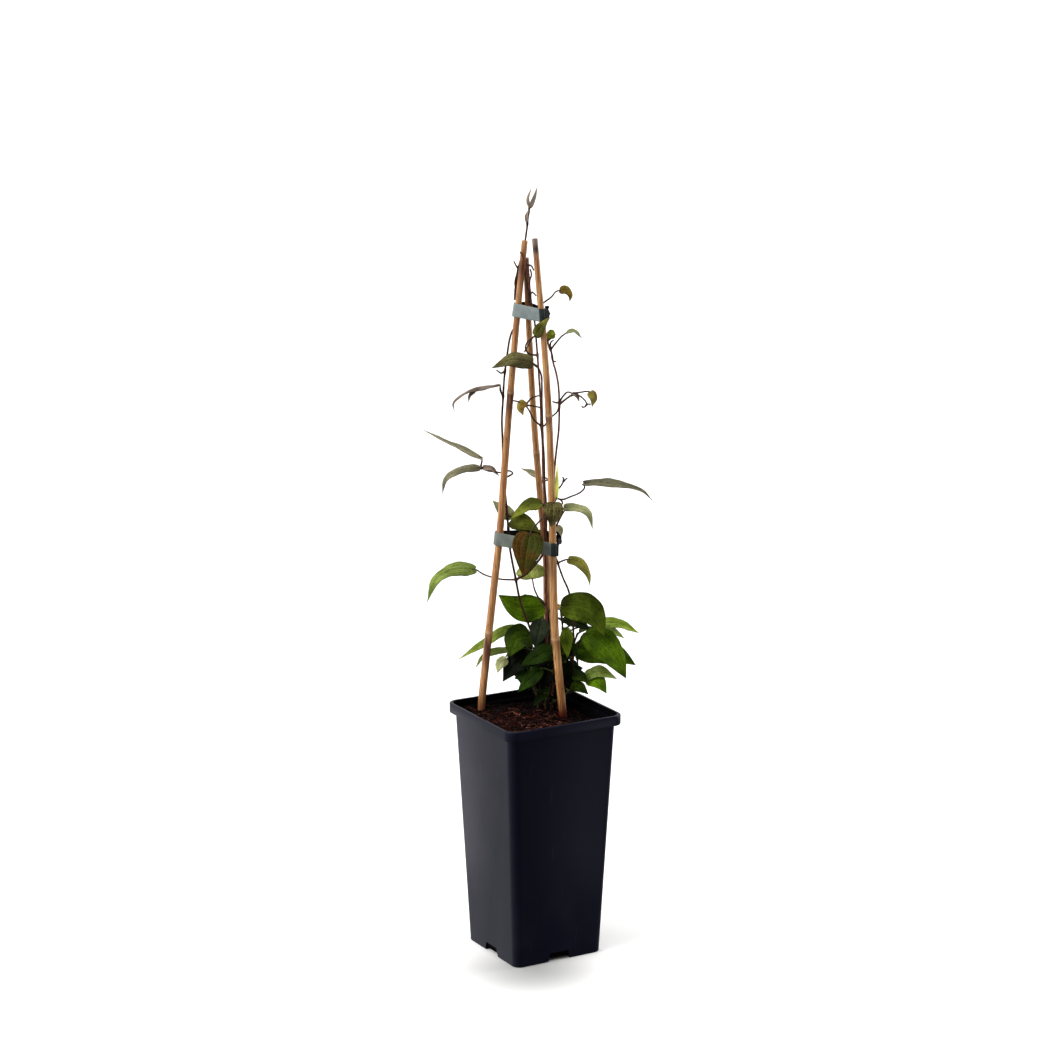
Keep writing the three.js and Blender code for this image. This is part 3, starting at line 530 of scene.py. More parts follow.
print("soil:", len(fibres), "fibres and", FLAKES, "flakes")

# %% [markdown]
# ## What the soil looks like
#
# Damp peat is nearly black and has hardly any gloss. The crumbs of dust on it are a little redder.
# Coir and bark are red-brown, and each piece has dried in its own way, so its tone is drawn once for
# the whole piece, from its island in the mesh. Both are painted darker away from one lit spot of the
# bed, as painted shade of the rim and the leaves.

# %% Make the peat
peat, tree, shader, place = new_material(
    "damp peat and coir dust", Roughness=0.95, Specular_IOR_Level=0.03,
)
clods = add(tree, "TexNoise", grain(3, 4), Vector=place)
clods = add(tree, "MapRange", {**SMOOTH, 1: 0.35, 2: 0.7}, n0=clods)
tone = add(tree, "Mix", {**COLOUR, "A": "#040101", "B": "#0d0403"}, Factor=clods)
dust = add(tree, "TexNoise", grain(0.9, 2), Vector=place)
specks = add(tree, "MapRange", {**SMOOTH, 1: 0.58, 2: 0.75}, n0=dust)
tone = add(tree, "Mix", {**COLOUR, "B": "#260a06"}, Factor=specks, A=tone)
height_up = add(tree, "SeparateXYZ", None, Vector=place).outputs["Z"]
# The bed is darker toward the bottom: fully below 0.18 m, fading out by 0.2 m.
wet = add(tree, "MapRange", {**SMOOTH, 1: 0.18, 2: 0.2, 3: 1, 4: 0}, n0=height_up)
tone = add(tree, "Mix", {**COLOUR, "B": "#060303"}, Factor=wet, A=tone)
bump = add(tree, "Bump", {"Distance": 0.5 * MM, "Strength": 0.8}, Height=dust)
link(tree, shader, Base_Color=tone, Normal=bump)

# %% Make the coir and the bark
LIT_SPOT = Vector((-16, -8, 211)) * MM


def loose(name, dark, middle, pale):
    """A material for many small pieces, each with a tone of its own, darker where the bed is damp and
    painted darker as shade away from one lit spot.
    """
    material, tree, shader, place = new_material(name, Roughness=0.8, Specular_IOR_Level=0.06)
    own = add(tree, "NewGeometry").outputs["Random Per Island"]
    share = add(tree, "MapRange", {1: 0.2, 2: 0.75}, n0=own)
    tone = add(tree, "Mix", {**COLOUR, "A": dark, "B": middle}, Factor=share)
    share = add(tree, "MapRange", {1: 0.8, 2: 1.0}, n0=own)
    tone = add(tree, "Mix", {**COLOUR, "B": pale}, Factor=share, A=tone)
    damp = add(tree, "TexNoise", grain(14, 2), Vector=place)
    damp = add(tree, "MapRange", {**SMOOTH, 1: 0.45, 2: 0.6, 4: 0.6}, n0=damp)
    # Painted shade: the pieces grow darker away from one lit spot, where the rim and the leaves shade the
    # bed.
    away = add(tree, "VectorMath", {"operation": "DISTANCE", 1: LIT_SPOT}, n0=place)
    away = add(tree, "MapRange", {**SMOOTH, 1: 0.02, 2: 0.05, 4: 0.85}, n0=away)
    damp = add(tree, "Math", {"operation": "MAXIMUM"}, n0=damp, n1=away)
    tone = add(tree, "Mix", {**COLOUR, "B": dark}, Factor=damp, A=tone)
    fuzz = add(tree, "TexNoise", grain(0.5, 2), Vector=place)
    bump = add(tree, "Bump", {"Distance": 0.1 * MM, "Strength": 0.5}, Height=fuzz)
    link(tree, shader, Base_Color=tone, Normal=bump)
    return material


coir = loose("dry coir fibre", "#0a0202", "#3c140c", "#a66850")
bark = loose("composted pine bark", "#040101", "#0d0403", "#34140e")
finish_piece("soil_bed", bed, [peat], "soil", "soil", smooth=60)
finish_piece("soil_fibres", fibre_mesh, [coir], "soil", "soil")
finish_piece("soil_flakes", flakes, [bark], "soil", "soil", smooth=20)

# %% [markdown]
# ## The canes
#
# A thin bamboo cane is a stiff straw with a joint every two hands' widths, where a ridge runs round
# it above the scar of a leaf. The cane is a circle pushed along its line, wider at the joints. Six
# marks are kept at every point of its skin for the finish, each a number: how near the scar and the
# ridge of a joint are, how weathered and bruised the skin is, how deep it is stained, and how much
# painted shade darkens the whole cane.
#
# A cane is written down as its width at foot and tip, the heights of its joints, how strong each kind
# of age is, how much painted shade darkens it, and the points of its path. Its bound place is how
# deep the stain of old stems is there, how far under the tip its middle lies, and how far it spreads.
# Its scar is how far the scar under each joint reaches down.

# %% The lines of the canes
CANES = {
    "cane_left": {
        "foot": 7.2, "tip": 5.3, "joints": (283, 498), "weathered": 0.0, "stained": 0.75, "shade": 0.15,
        "bound": (0.85, 23, 11), "scar": 34,
        "path": [
            (-48, -20.5, 125), (-48, -20.5, 170), (-47, -21, 213), (-43.3, -21.5, 253), (-37, -21, 312),
            (-31, -20, 366), (-27, -19, 420), (-22.9, -18.3, 473), (-15.6, -17, 560), (-8.7, -16, 629),
        ],
    },
    "cane_front": {
        "foot": 7.6, "tip": 5, "joints": (281.5, 480), "weathered": 1.0, "stained": 1.0, "shade": 0.0,
        "bound": (0, 0, 1), "scar": 9,
        "path": [
            (27, -9.5, 125), (26.5, -9.5, 170), (25, -8.9, 208), (20.9, -6.5, 253), (17.7, -5.5, 289),
            (15.9, -5, 352), (14.6, -5, 405), (12.2, -5.5, 475), (7.3, -6.5, 549), (3.7, -7, 588),
            (-0.2, -8, 632),
        ],
    },
    "cane_back": {
        "foot": 6.8, "tip": 5, "joints": (250, 441), "weathered": 0.0, "stained": 0.5, "shade": 0.1,
        "bound": (0.7, 15, 35), "scar": 9,
        "path": [
            (16.5, -53.5, 125), (16.5, -53.5, 170), (15.6, -53, 208), (12.6, -50.5, 262),
            (10.6, -49, 305), (9.9, -46, 342), (5.4, -42, 392), (-0.9, -36, 470), (-5.5, -29, 558),
            (-7.7, -24.5, 613),
        ],
    },
}
CANE_SIDES, CANE_STEPS, CANE_WALL, CANE_HOLLOW = 20, 230, 1.3, 5
RIDGE, SWELLING, GROOVE = (0.35, 0, 1.1), (0.25, 2.6, 1.6), (-0.16, 1.5, 0.5)


def fading(distance, reach):
    """From 1 at no distance to nearly nothing at twice the reach."""
    return math.exp(-((distance / reach) ** 2))


def cane_radius(cane, share, height):
    """The cane tapers. Each of its joints has three rings, given by how far they stand out, how far
    under the joint they lie and how wide they are."""
    radius = (cane["foot"] + (cane["tip"] - cane["foot"]) * share) / 2
    for joint in cane["joints"]:
        for out, under, wide in (RIDGE, SWELLING, GROOVE):
            radius += out * fading(height - joint + under, wide)
    return radius


# %% Push a circle along each cane
def turned_to(direction, point):
    """A frame that turns +Z to a direction, at a point."""
    return Matrix.Translation(point) @ direction.to_track_quat("Z", "Y").to_matrix().to_4x4()


def pushed(bm, stops):
    """Pushes the one open ring or face of a mesh on, stop by stop. At each stop it gives the stop, the
    ring's edges, and each of its points with the place which that point had in the first ring."""
    number = bm.verts.layers.int.new("corner")
    flat = []
    for k, vert in enumerate(bm.verts):
        vert[number] = k
        flat.append(vert.co.copy())
    ring, verts = bm.edges[:], bm.verts[:]
    for k, stop in enumerate(stops):
        if k:
            grown = bmesh.ops.extrude_edge_only(bm, edges=ring)["geom"]
            ring = [item for item in grown if isinstance(item, bmesh.types.BMEdge)]
            verts = [item for item in grown if isinstance(item, bmesh.types.BMVert)]
        yield stop, ring, [(vert, flat[vert[number]]) for vert in verts]


CANE_MARKS = ("joint", "ridge", "weathered", "bruise", "stain", "shade")
SCAR_PLACE, SCAR_TOP, RIDGE_REACH = 2, 4, 0.8
WEATHERED_REACH, BRUISE_PLACE, BRUISE_REACH = 12, 8.8, 3.8
SOIL_LINE, STAIN_CLIMB, STAIN_TONGUES = 211, 15, 9


def cane_marks(cane, line, height, flat):
    """How much of each kind of age a point of the skin has, from 0 to 1. The scar under a joint
    fades downward, the stain of the wet soil climbs in uneven tongues, and where old stems are bound
    round a cane it is stained as well."""
    under = [joint - height for joint in cane["joints"]]
    climb = STAIN_CLIMB + STAIN_TONGUES * noise.noise(Vector((flat.x * 2.5, flat.y * 2.5, 3)))
    from_tip = line.at(1).z - height
    bound, middle, spread = cane["bound"]
    wet = cane["stained"] * fading(max(height - SOIL_LINE, 0), climb)
    return {
        "joint": max(
            fading(gap - SCAR_PLACE, cane["scar"] if gap > SCAR_PLACE else SCAR_TOP) for gap in under
        ),
        "ridge": 0.45 * max(fading(gap, RIDGE_REACH) for gap in under),
        "weathered": cane["weathered"] * fading(from_tip, WEATHERED_REACH),
        "bruise": 0.9 * cane["weathered"] * fading(from_tip - BRUISE_PLACE, BRUISE_REACH),
        "stain": wet + bound * fading(from_tip - middle, spread),
        # Painted shade of the whole cane.
        "shade": cane["shade"],
    }


def cane_mesh(cane):
    line = Line([show(point) for point in cane["path"]])
    shares = [k / CANE_STEPS for k in range(CANE_STEPS + 1)]
    bm = bmesh.new()
    marks = {key: bm.verts.layers.float.new(key) for key in CANE_MARKS}
    bmesh.ops.create_circle(bm, cap_ends=True, segments=CANE_SIDES, radius=1)
    for share, ring, corners in pushed(bm, shares):
        point = line.at(share)
        radius = cane_radius(cane, share, point.z)
        place = turned_to(line.along(share), point)
        for vert, flat in corners:
            uneven = 1 + 0.02 * noise.noise(Vector((flat.x * 2, flat.y * 2, point.z / 30)))
            vert.co = place @ (flat * radius * uneven)
            for key, value in cane_marks(cane, line, point.z, flat).items():
                vert[marks[key]] = value
    top = bmesh.ops.contextual_create(bm, geom=ring)["faces"]
    bmesh.ops.inset_individual(bm, faces=top, thickness=CANE_WALL, depth=0)
    well = bmesh.ops.extrude_discrete_faces(bm, faces=top)["faces"]
    bmesh.ops.translate(bm, verts=well[0].verts, vec=line.along(1) * -CANE_HOLLOW)
    bmesh.ops.recalc_face_normals(bm, faces=bm.faces)
    return bm, line


# %% [markdown]
# ## Dried bamboo
#
# The skin of bamboo is hard and smooth like a thin varnish, over straw-coloured fibres that run its
# whole length, so a clear coat lies on a streaked ground. Age is laid on from the marks kept in the
# skin, one after another: the dark scars and pale ridges of the joints, the red-brown stain, and the
# grey of a weathered tip with its bruise.

# %% Make the bamboo
bamboo, tree, shader, place = new_material(
    "dried bamboo cane", IOR=1.5, Specular_IOR_Level=0.35,
    Coat_Weight=0.4, Coat_Roughness=0.2, Coat_IOR=1.5,
)
fine = add(tree, "Mapping", {"Scale": (1, 1, 0.03)}, Vector=place)
streaks = add(tree, "TexNoise", grain(0.8, 4), Vector=fine)
share = add(tree, "MapRange", {**SMOOTH, 1: 0.32, 2: 0.68}, n0=streaks)
tone = add(tree, "Mix", {**COLOUR, "A": "#945e30", "B": "#d0a066"}, Factor=share)
coarse = add(tree, "Mapping", {"Scale": (1, 1, 0.2)}, Vector=place)
mottle = add(tree, "TexNoise", grain(6, 5), Vector=coarse)
share = add(tree, "MapRange", {**SMOOTH, 1: 0.46, 2: 0.66, 4: 0.6}, n0=mottle)
tone = add(tree, "Mix", {**COLOUR, "B": "#8c4f2a"}, Factor=share, A=tone)
# Painted shade: a cane that stands in shade is painted darker and redder all over by its shade mark.
shade = add(tree, "Attribute", {"attribute_name": "shade"}).outputs["Fac"]
tone = add(tree, "Mix", {**COLOUR, "B": "#9a5c39"}, Factor=shade, A=tone)
longer = add(tree, "Mapping", {"Scale": (1, 1, 0.5)}, Vector=place)
specks = add(tree, "TexNoise", grain(1.8, 2), Vector=longer)
specks = add(tree, "MapRange", {**SMOOTH, 1: 0.66, 2: 0.72, 4: 0.7}, n0=specks)
tone = add(tree, "Mix", {**COLOUR, "B": "#5d2f19"}, Factor=specks, A=tone)
joint = add(tree, "Attribute", {"attribute_name": "joint"}).outputs["Fac"]
patchy = add(tree, "MapRange", {**SMOOTH, 1: 0.3, 2: 0.62, 3: 0.15}, n0=mottle)
scar = add(tree, "Math", {"operation": "MULTIPLY"}, n0=joint, n1=patchy)
tone = add(tree, "Mix", {**COLOUR, "B": "#4c1e0c"}, Factor=scar, A=tone)
for mark, code in (
    ("ridge", "#d2ae84"), ("stain", "#4a1208"), ("weathered", "#857468"), ("bruise", "#20100c"),
):
    share = add(tree, "Attribute", {"attribute_name": mark}).outputs["Fac"]
    tone = add(tree, "Mix", {**COLOUR, "B": code}, Factor=share, A=tone)
rough = add(tree, "MapRange", {1: 0.3, 2: 0.7, 3: 0.34, 4: 0.5}, n0=streaks)
bump = add(tree, "Bump", {"Distance": 0.12 * MM, "Strength": 0.35}, Height=streaks)
link(tree, shader, Base_Color=tone, Roughness=rough, Normal=bump)

cane_lines = {}
for name, cane in CANES.items():
    skin, cane_lines[name] = cane_mesh(cane)
    finish_piece(name + "_culm", skin, [bamboo], name, "bamboo", smooth=50)

# %% [markdown]
# ## The clips
#
# Two flat plastic straps hold the canes together. Each is a closed band that is drawn tight round
# the canes and hangs out in a bight where it is joined. The band is a rounded strip swept round
# the same loop as the model's, and it leans with the canes that carry it.

# %% The loop of a strap
CLIPS = {
    "clip_lower": {"height": 364, "bulge": (20.5, -28), "catch": (4.4, 11)},
    "clip_upper": {"height": 567.5, "bulge": (9.6, -15), "catch": (2.6, 8.5)},
}
BAND_HEIGHT, BAND_THICK, BAND_TILT, BAND_BEND, BAND_PLAY = 11.5, 1.3, 0.12, 1.2, 0.5
BAND_ROUND, ARC_STEPS, TONGUE_SHARES, SEARCH_STEPS = 0.35, 9, (0.03, 0.1), 800


def cane_at(name, height):
    """The middle, direction and radius of a cane where it passes a height."""
    line, cane = cane_lines[name], CANES[name]
    shares = [k / SEARCH_STEPS for k in range(SEARCH_STEPS + 1)]
    share = next(share for share in shares if line.at(share).z >= height)
    radius = (cane["foot"] + (cane["tip"] - cane["foot"]) * share) / 2
    return line.at(share), line.along(share), radius


def loop_points(posts, extra):
    """A tight loop round upright posts, each given by its middle in plan and its radius."""
    points = []
    for k, (centre, radius) in enumerate(posts):
        before, after = posts[k - 1][0], posts[(k + 1) % len(posts)][0]
        into, out = centre - before, after - centre
        start = math.atan2(into.y, into.x) - math.pi / 2
        end = math.atan2(out.y, out.x) - math.pi / 2
        turn = (end - start) % (2 * math.pi)
        for step in range(ARC_STEPS + 1):
            angle = start + turn * step / ARC_STEPS
            points.append(centre + (radius + extra) * Vector((math.cos(angle), math.sin(angle))))
    return points


# %% Sweep the strip round the loop
def strap_mesh(height, bulge):
    stations = [cane_at(name, height) for name in ("cane_left", "cane_front", "cane_back")]
    left, front, behind = [(centre.to_2d(), radius + BAND_PLAY) for centre, _, radius in stations]
    slack = (show((*bulge, height)).to_2d(), BAND_BEND)
    loop = loop_points([left, front, slack, behind], BAND_THICK / 2)
    past_front = 2 * (ARC_STEPS + 1)
    start, end = loop[past_front - 1], loop[past_front]
    loop[past_front:past_front] = [start.lerp(end, share) for share in TONGUE_SHARES]
    bm = bmesh.new()
    strip = bmesh.ops.create_grid(bm, x_segments=1, y_segments=1, size=0.5)["verts"]
    bmesh.ops.scale(bm, verts=strip, vec=(BAND_THICK, BAND_HEIGHT, 1))
    bmesh.ops.bevel(
        bm, geom=strip, offset=BAND_ROUND, offset_type="OFFSET", segments=3, profile=0.5,
        affect="VERTICES", material=-1,
    )
    bmesh.ops.delete(bm, geom=bm.faces[:], context="FACES_ONLY")
    rings = []
    for k, ring, corners in pushed(bm, range(len(loop))):
        point = Vector((*loop[k], 0))
        ahead = (loop[(k + 1) % len(loop)] - loop[k - 1]).normalized()
        outward = Vector((ahead.y, -ahead.x, 0))
        for vert, corner in corners:
            vert.co = point + outward * corner.x + UP * corner.y
        rings.append(ring)
    bmesh.ops.bridge_loops(bm, edges=rings[0] + rings[-1])
    lean_with_canes(bm, stations, height)
    bmesh.ops.recalc_face_normals(bm, faces=bm.faces)
    return bm, stations


def lean_with_canes(bm, stations, height):
    """Each point of a strap leans as the canes do round it, and the whole strap is tilted a little."""
    a, b, c = [station[0].to_2d() for station in stations]
    whole = (b - a).cross(c - a)
    for vert in bm.verts:
        p = vert.co.to_2d()
        to_a, to_b, to_c = a - p, b - p, c - p
        shares = (to_b.cross(to_c) / whole, to_c.cross(to_a) / whole, to_a.cross(to_b) / whole)
        rise = vert.co.z - BAND_TILT * ACROSS.to_2d().dot(p)
        lean = Vector((0, 0, 0))
        for share, (_, along, _) in zip(shares, stations):
            lean += along * (share * rise / along.z)
        vert.co = (p.x + lean.x, p.y + lean.y, height + rise)


# %% [markdown]
# ## The clip's plastic and its catch
#
# Outside, the straps are a matt grey-green plastic, painted dark green as shade where they come round
# the front cane, and inside they are painted black as their shade. Past that cane each strap narrows
# to a black tongue, and a small catch, which is a box with two wider ribs, holds it shut at the bight.

# %% Make the plastic of the clips
def strap_plastic(name, dark, pale, rough, gloss):
    material, tree, shader, place = new_material(name, Roughness=rough, Specular_IOR_Level=gloss)
    clouds = add(tree, "TexNoise", grain(6), Vector=place)
    share = add(tree, "MapRange", {**SMOOTH, 1: 0.3, 2: 0.7}, n0=clouds)
    tone = add(tree, "Mix", {**COLOUR, "A": dark, "B": pale}, Factor=share)
    mould = add(tree, "TexNoise", grain(0.6, 2), Vector=place)
    bump = add(tree, "Bump", {"Distance": 0.04 * MM, "Strength": 0.3}, Height=mould)
    link(tree, shader, Base_Color=tone, Normal=bump)
    return material


fresh_plastic = strap_plastic("matt grey-green plastic strap", "#747e7d", "#838d8a", 0.5, 0.3)
# Painted shade: the lower strap is painted darker for the leaves that shade it.
leaf_shaded_plastic = strap_plastic(
    "grey-green plastic strap, dusty and worn", "#646a63", "#737970", 0.55, 0.25,
)
# Painted shade: where a strap turns round the front cane it is painted dark green.
shaded_plastic = strap_plastic("grey-green strap plastic painted dark green as shade", "#16211f", "#26332f", 0.45, 0.3)
# Painted shade: the inside of each strap is painted black; the same black serves the tongue and the
# catch.
shade_and_black_plastic = strap_plastic("black plastic, and painted shade inside a strap", "#08090b", "#101214", 0.7, 0.08)

# %% Shape and finish the clips
CATCH_DEPTH, CATCH_ROUND, CATCH_OUT = 4.2, 0.35, 0.7
TONGUE, TONGUE_RISE = 0.4, 3
OUTSIDE, INSIDE_SHADE_AND_BLACK, SHADED = range(3)


def narrow_tongue(strap, height, front, reach):
    """Narrows a strap past the front cane, and lifts it where it leaves the cane."""
    for vert in strap.verts:
        past_cane = (vert.co - front).dot(ACROSS)
        behind = -(vert.co - front).dot(TOWARD) / reach
        if past_cane > 0 and behind > -0.25:
            level = height + BAND_TILT * ACROSS.dot(vert.co)
            narrow, rise = min(1, 5 * behind + 1.25), TONGUE_RISE * max(0, 1 - behind / 4)
            vert.co.z = level + (vert.co.z - level) * (1 - (1 - TONGUE) * narrow) + rise * narrow


def part_faces(strap, middle, front, reach):
    """Gives each face of a strap its plastic: black for the painted shade inside and for the tongue,
    painted shade round the front cane, or plain outside.
    """
    for face in strap.faces:
        inward = (middle - face.calc_center_median()).to_2d()
        past_cane = (face.calc_center_median() - front).dot(ACROSS)
        if face.normal.to_2d().dot(inward) > 0.35 * inward.length or past_cane > reach + 0.3:
            face.material_index = INSIDE_SHADE_AND_BLACK
        else:
            face.material_index = SHADED if past_cane > -reach * 0.75 else OUTSIDE


def add_catch(strap, clip):
    """Adds the catch at the bight: its body, a rib round the top and one near the foot."""
    wide, tall = clip["catch"]
    bight = show((clip["bulge"][0] + CATCH_OUT, clip["bulge"][1], clip["height"]))
    bight.z += BAND_TILT * ACROSS.dot(bight)
    square_on = Matrix.Rotation(SHOW_TURN, 3, "Z")
    body, top_rib, low_rib = (0, tall, 0), (1.3, 1.5, tall / 2 - 0.8), (0.7, 1.3, 2.6 - tall / 2)
    for wider, height, rise in (body, top_rib, low_rib):
        catch = bmesh.ops.create_cube(strap, size=1)["verts"]
        bmesh.ops.scale(strap, verts=catch, vec=(wide + wider, CATCH_DEPTH - wider / 2, height))
        bevelled = bmesh.ops.bevel(
            strap, geom=list({edge for vert in catch for edge in vert.link_edges}),
            offset=CATCH_ROUND, offset_type="OFFSET", segments=2, profile=0.5, affect="EDGES",
            material=-1,
        )
        catch = list({vert for face in bevelled["faces"] for vert in face.verts})
        bmesh.ops.rotate(strap, verts=catch, cent=(0, 0, 0), matrix=square_on)
        bmesh.ops.translate(strap, verts=catch, vec=bight + UP * rise)
        for face in {face for vert in catch for face in vert.link_faces}:
            face.material_index = INSIDE_SHADE_AND_BLACK


for name, clip in CLIPS.items():
    strap, stations = strap_mesh(clip["height"], clip["bulge"])
    middle = sum((station[0] for station in stations), Vector((0, 0, 0))) / 3
    front, _, reach = stations[1]
    narrow_tongue(strap, clip["height"], front, reach)
    part_faces(strap, middle, front, reach)
    add_catch(strap, clip)
    # The lower strap takes the plastic with painted shade.
    outside = fresh_plastic if name == "clip_upper" else leaf_shaded_plastic
    materials = [outside, shade_and_black_plastic, shaded_plastic]
    finish_piece(name + "_strap", strap, materials, name, "clip", smooth=50)

# %% [markdown]
# ## What each leafy stem is made of
#
# The climbing stems and the shoots stand where the model has them, so their points are the model's
# own. A leaf is its width, its colour and how light that is, the way that its upper side looks, its
# midrib from base to tip, and the points that its stalk passes on the way from the stem. How light a
# leaf is holds its own tone and painted light and shade: leaves in shade are painted darker, and lit
# ones paler.


# %% List the stems, twigs and leaves
# depth scales the leaf's colour: its own tone together with painted light and shade.
def leaf(width, colour, depth, face, rib, stalk=()):
    return {"width": width, "colour": colour, "depth": depth, "face": face, "rib": rib, "stalk": stalk}


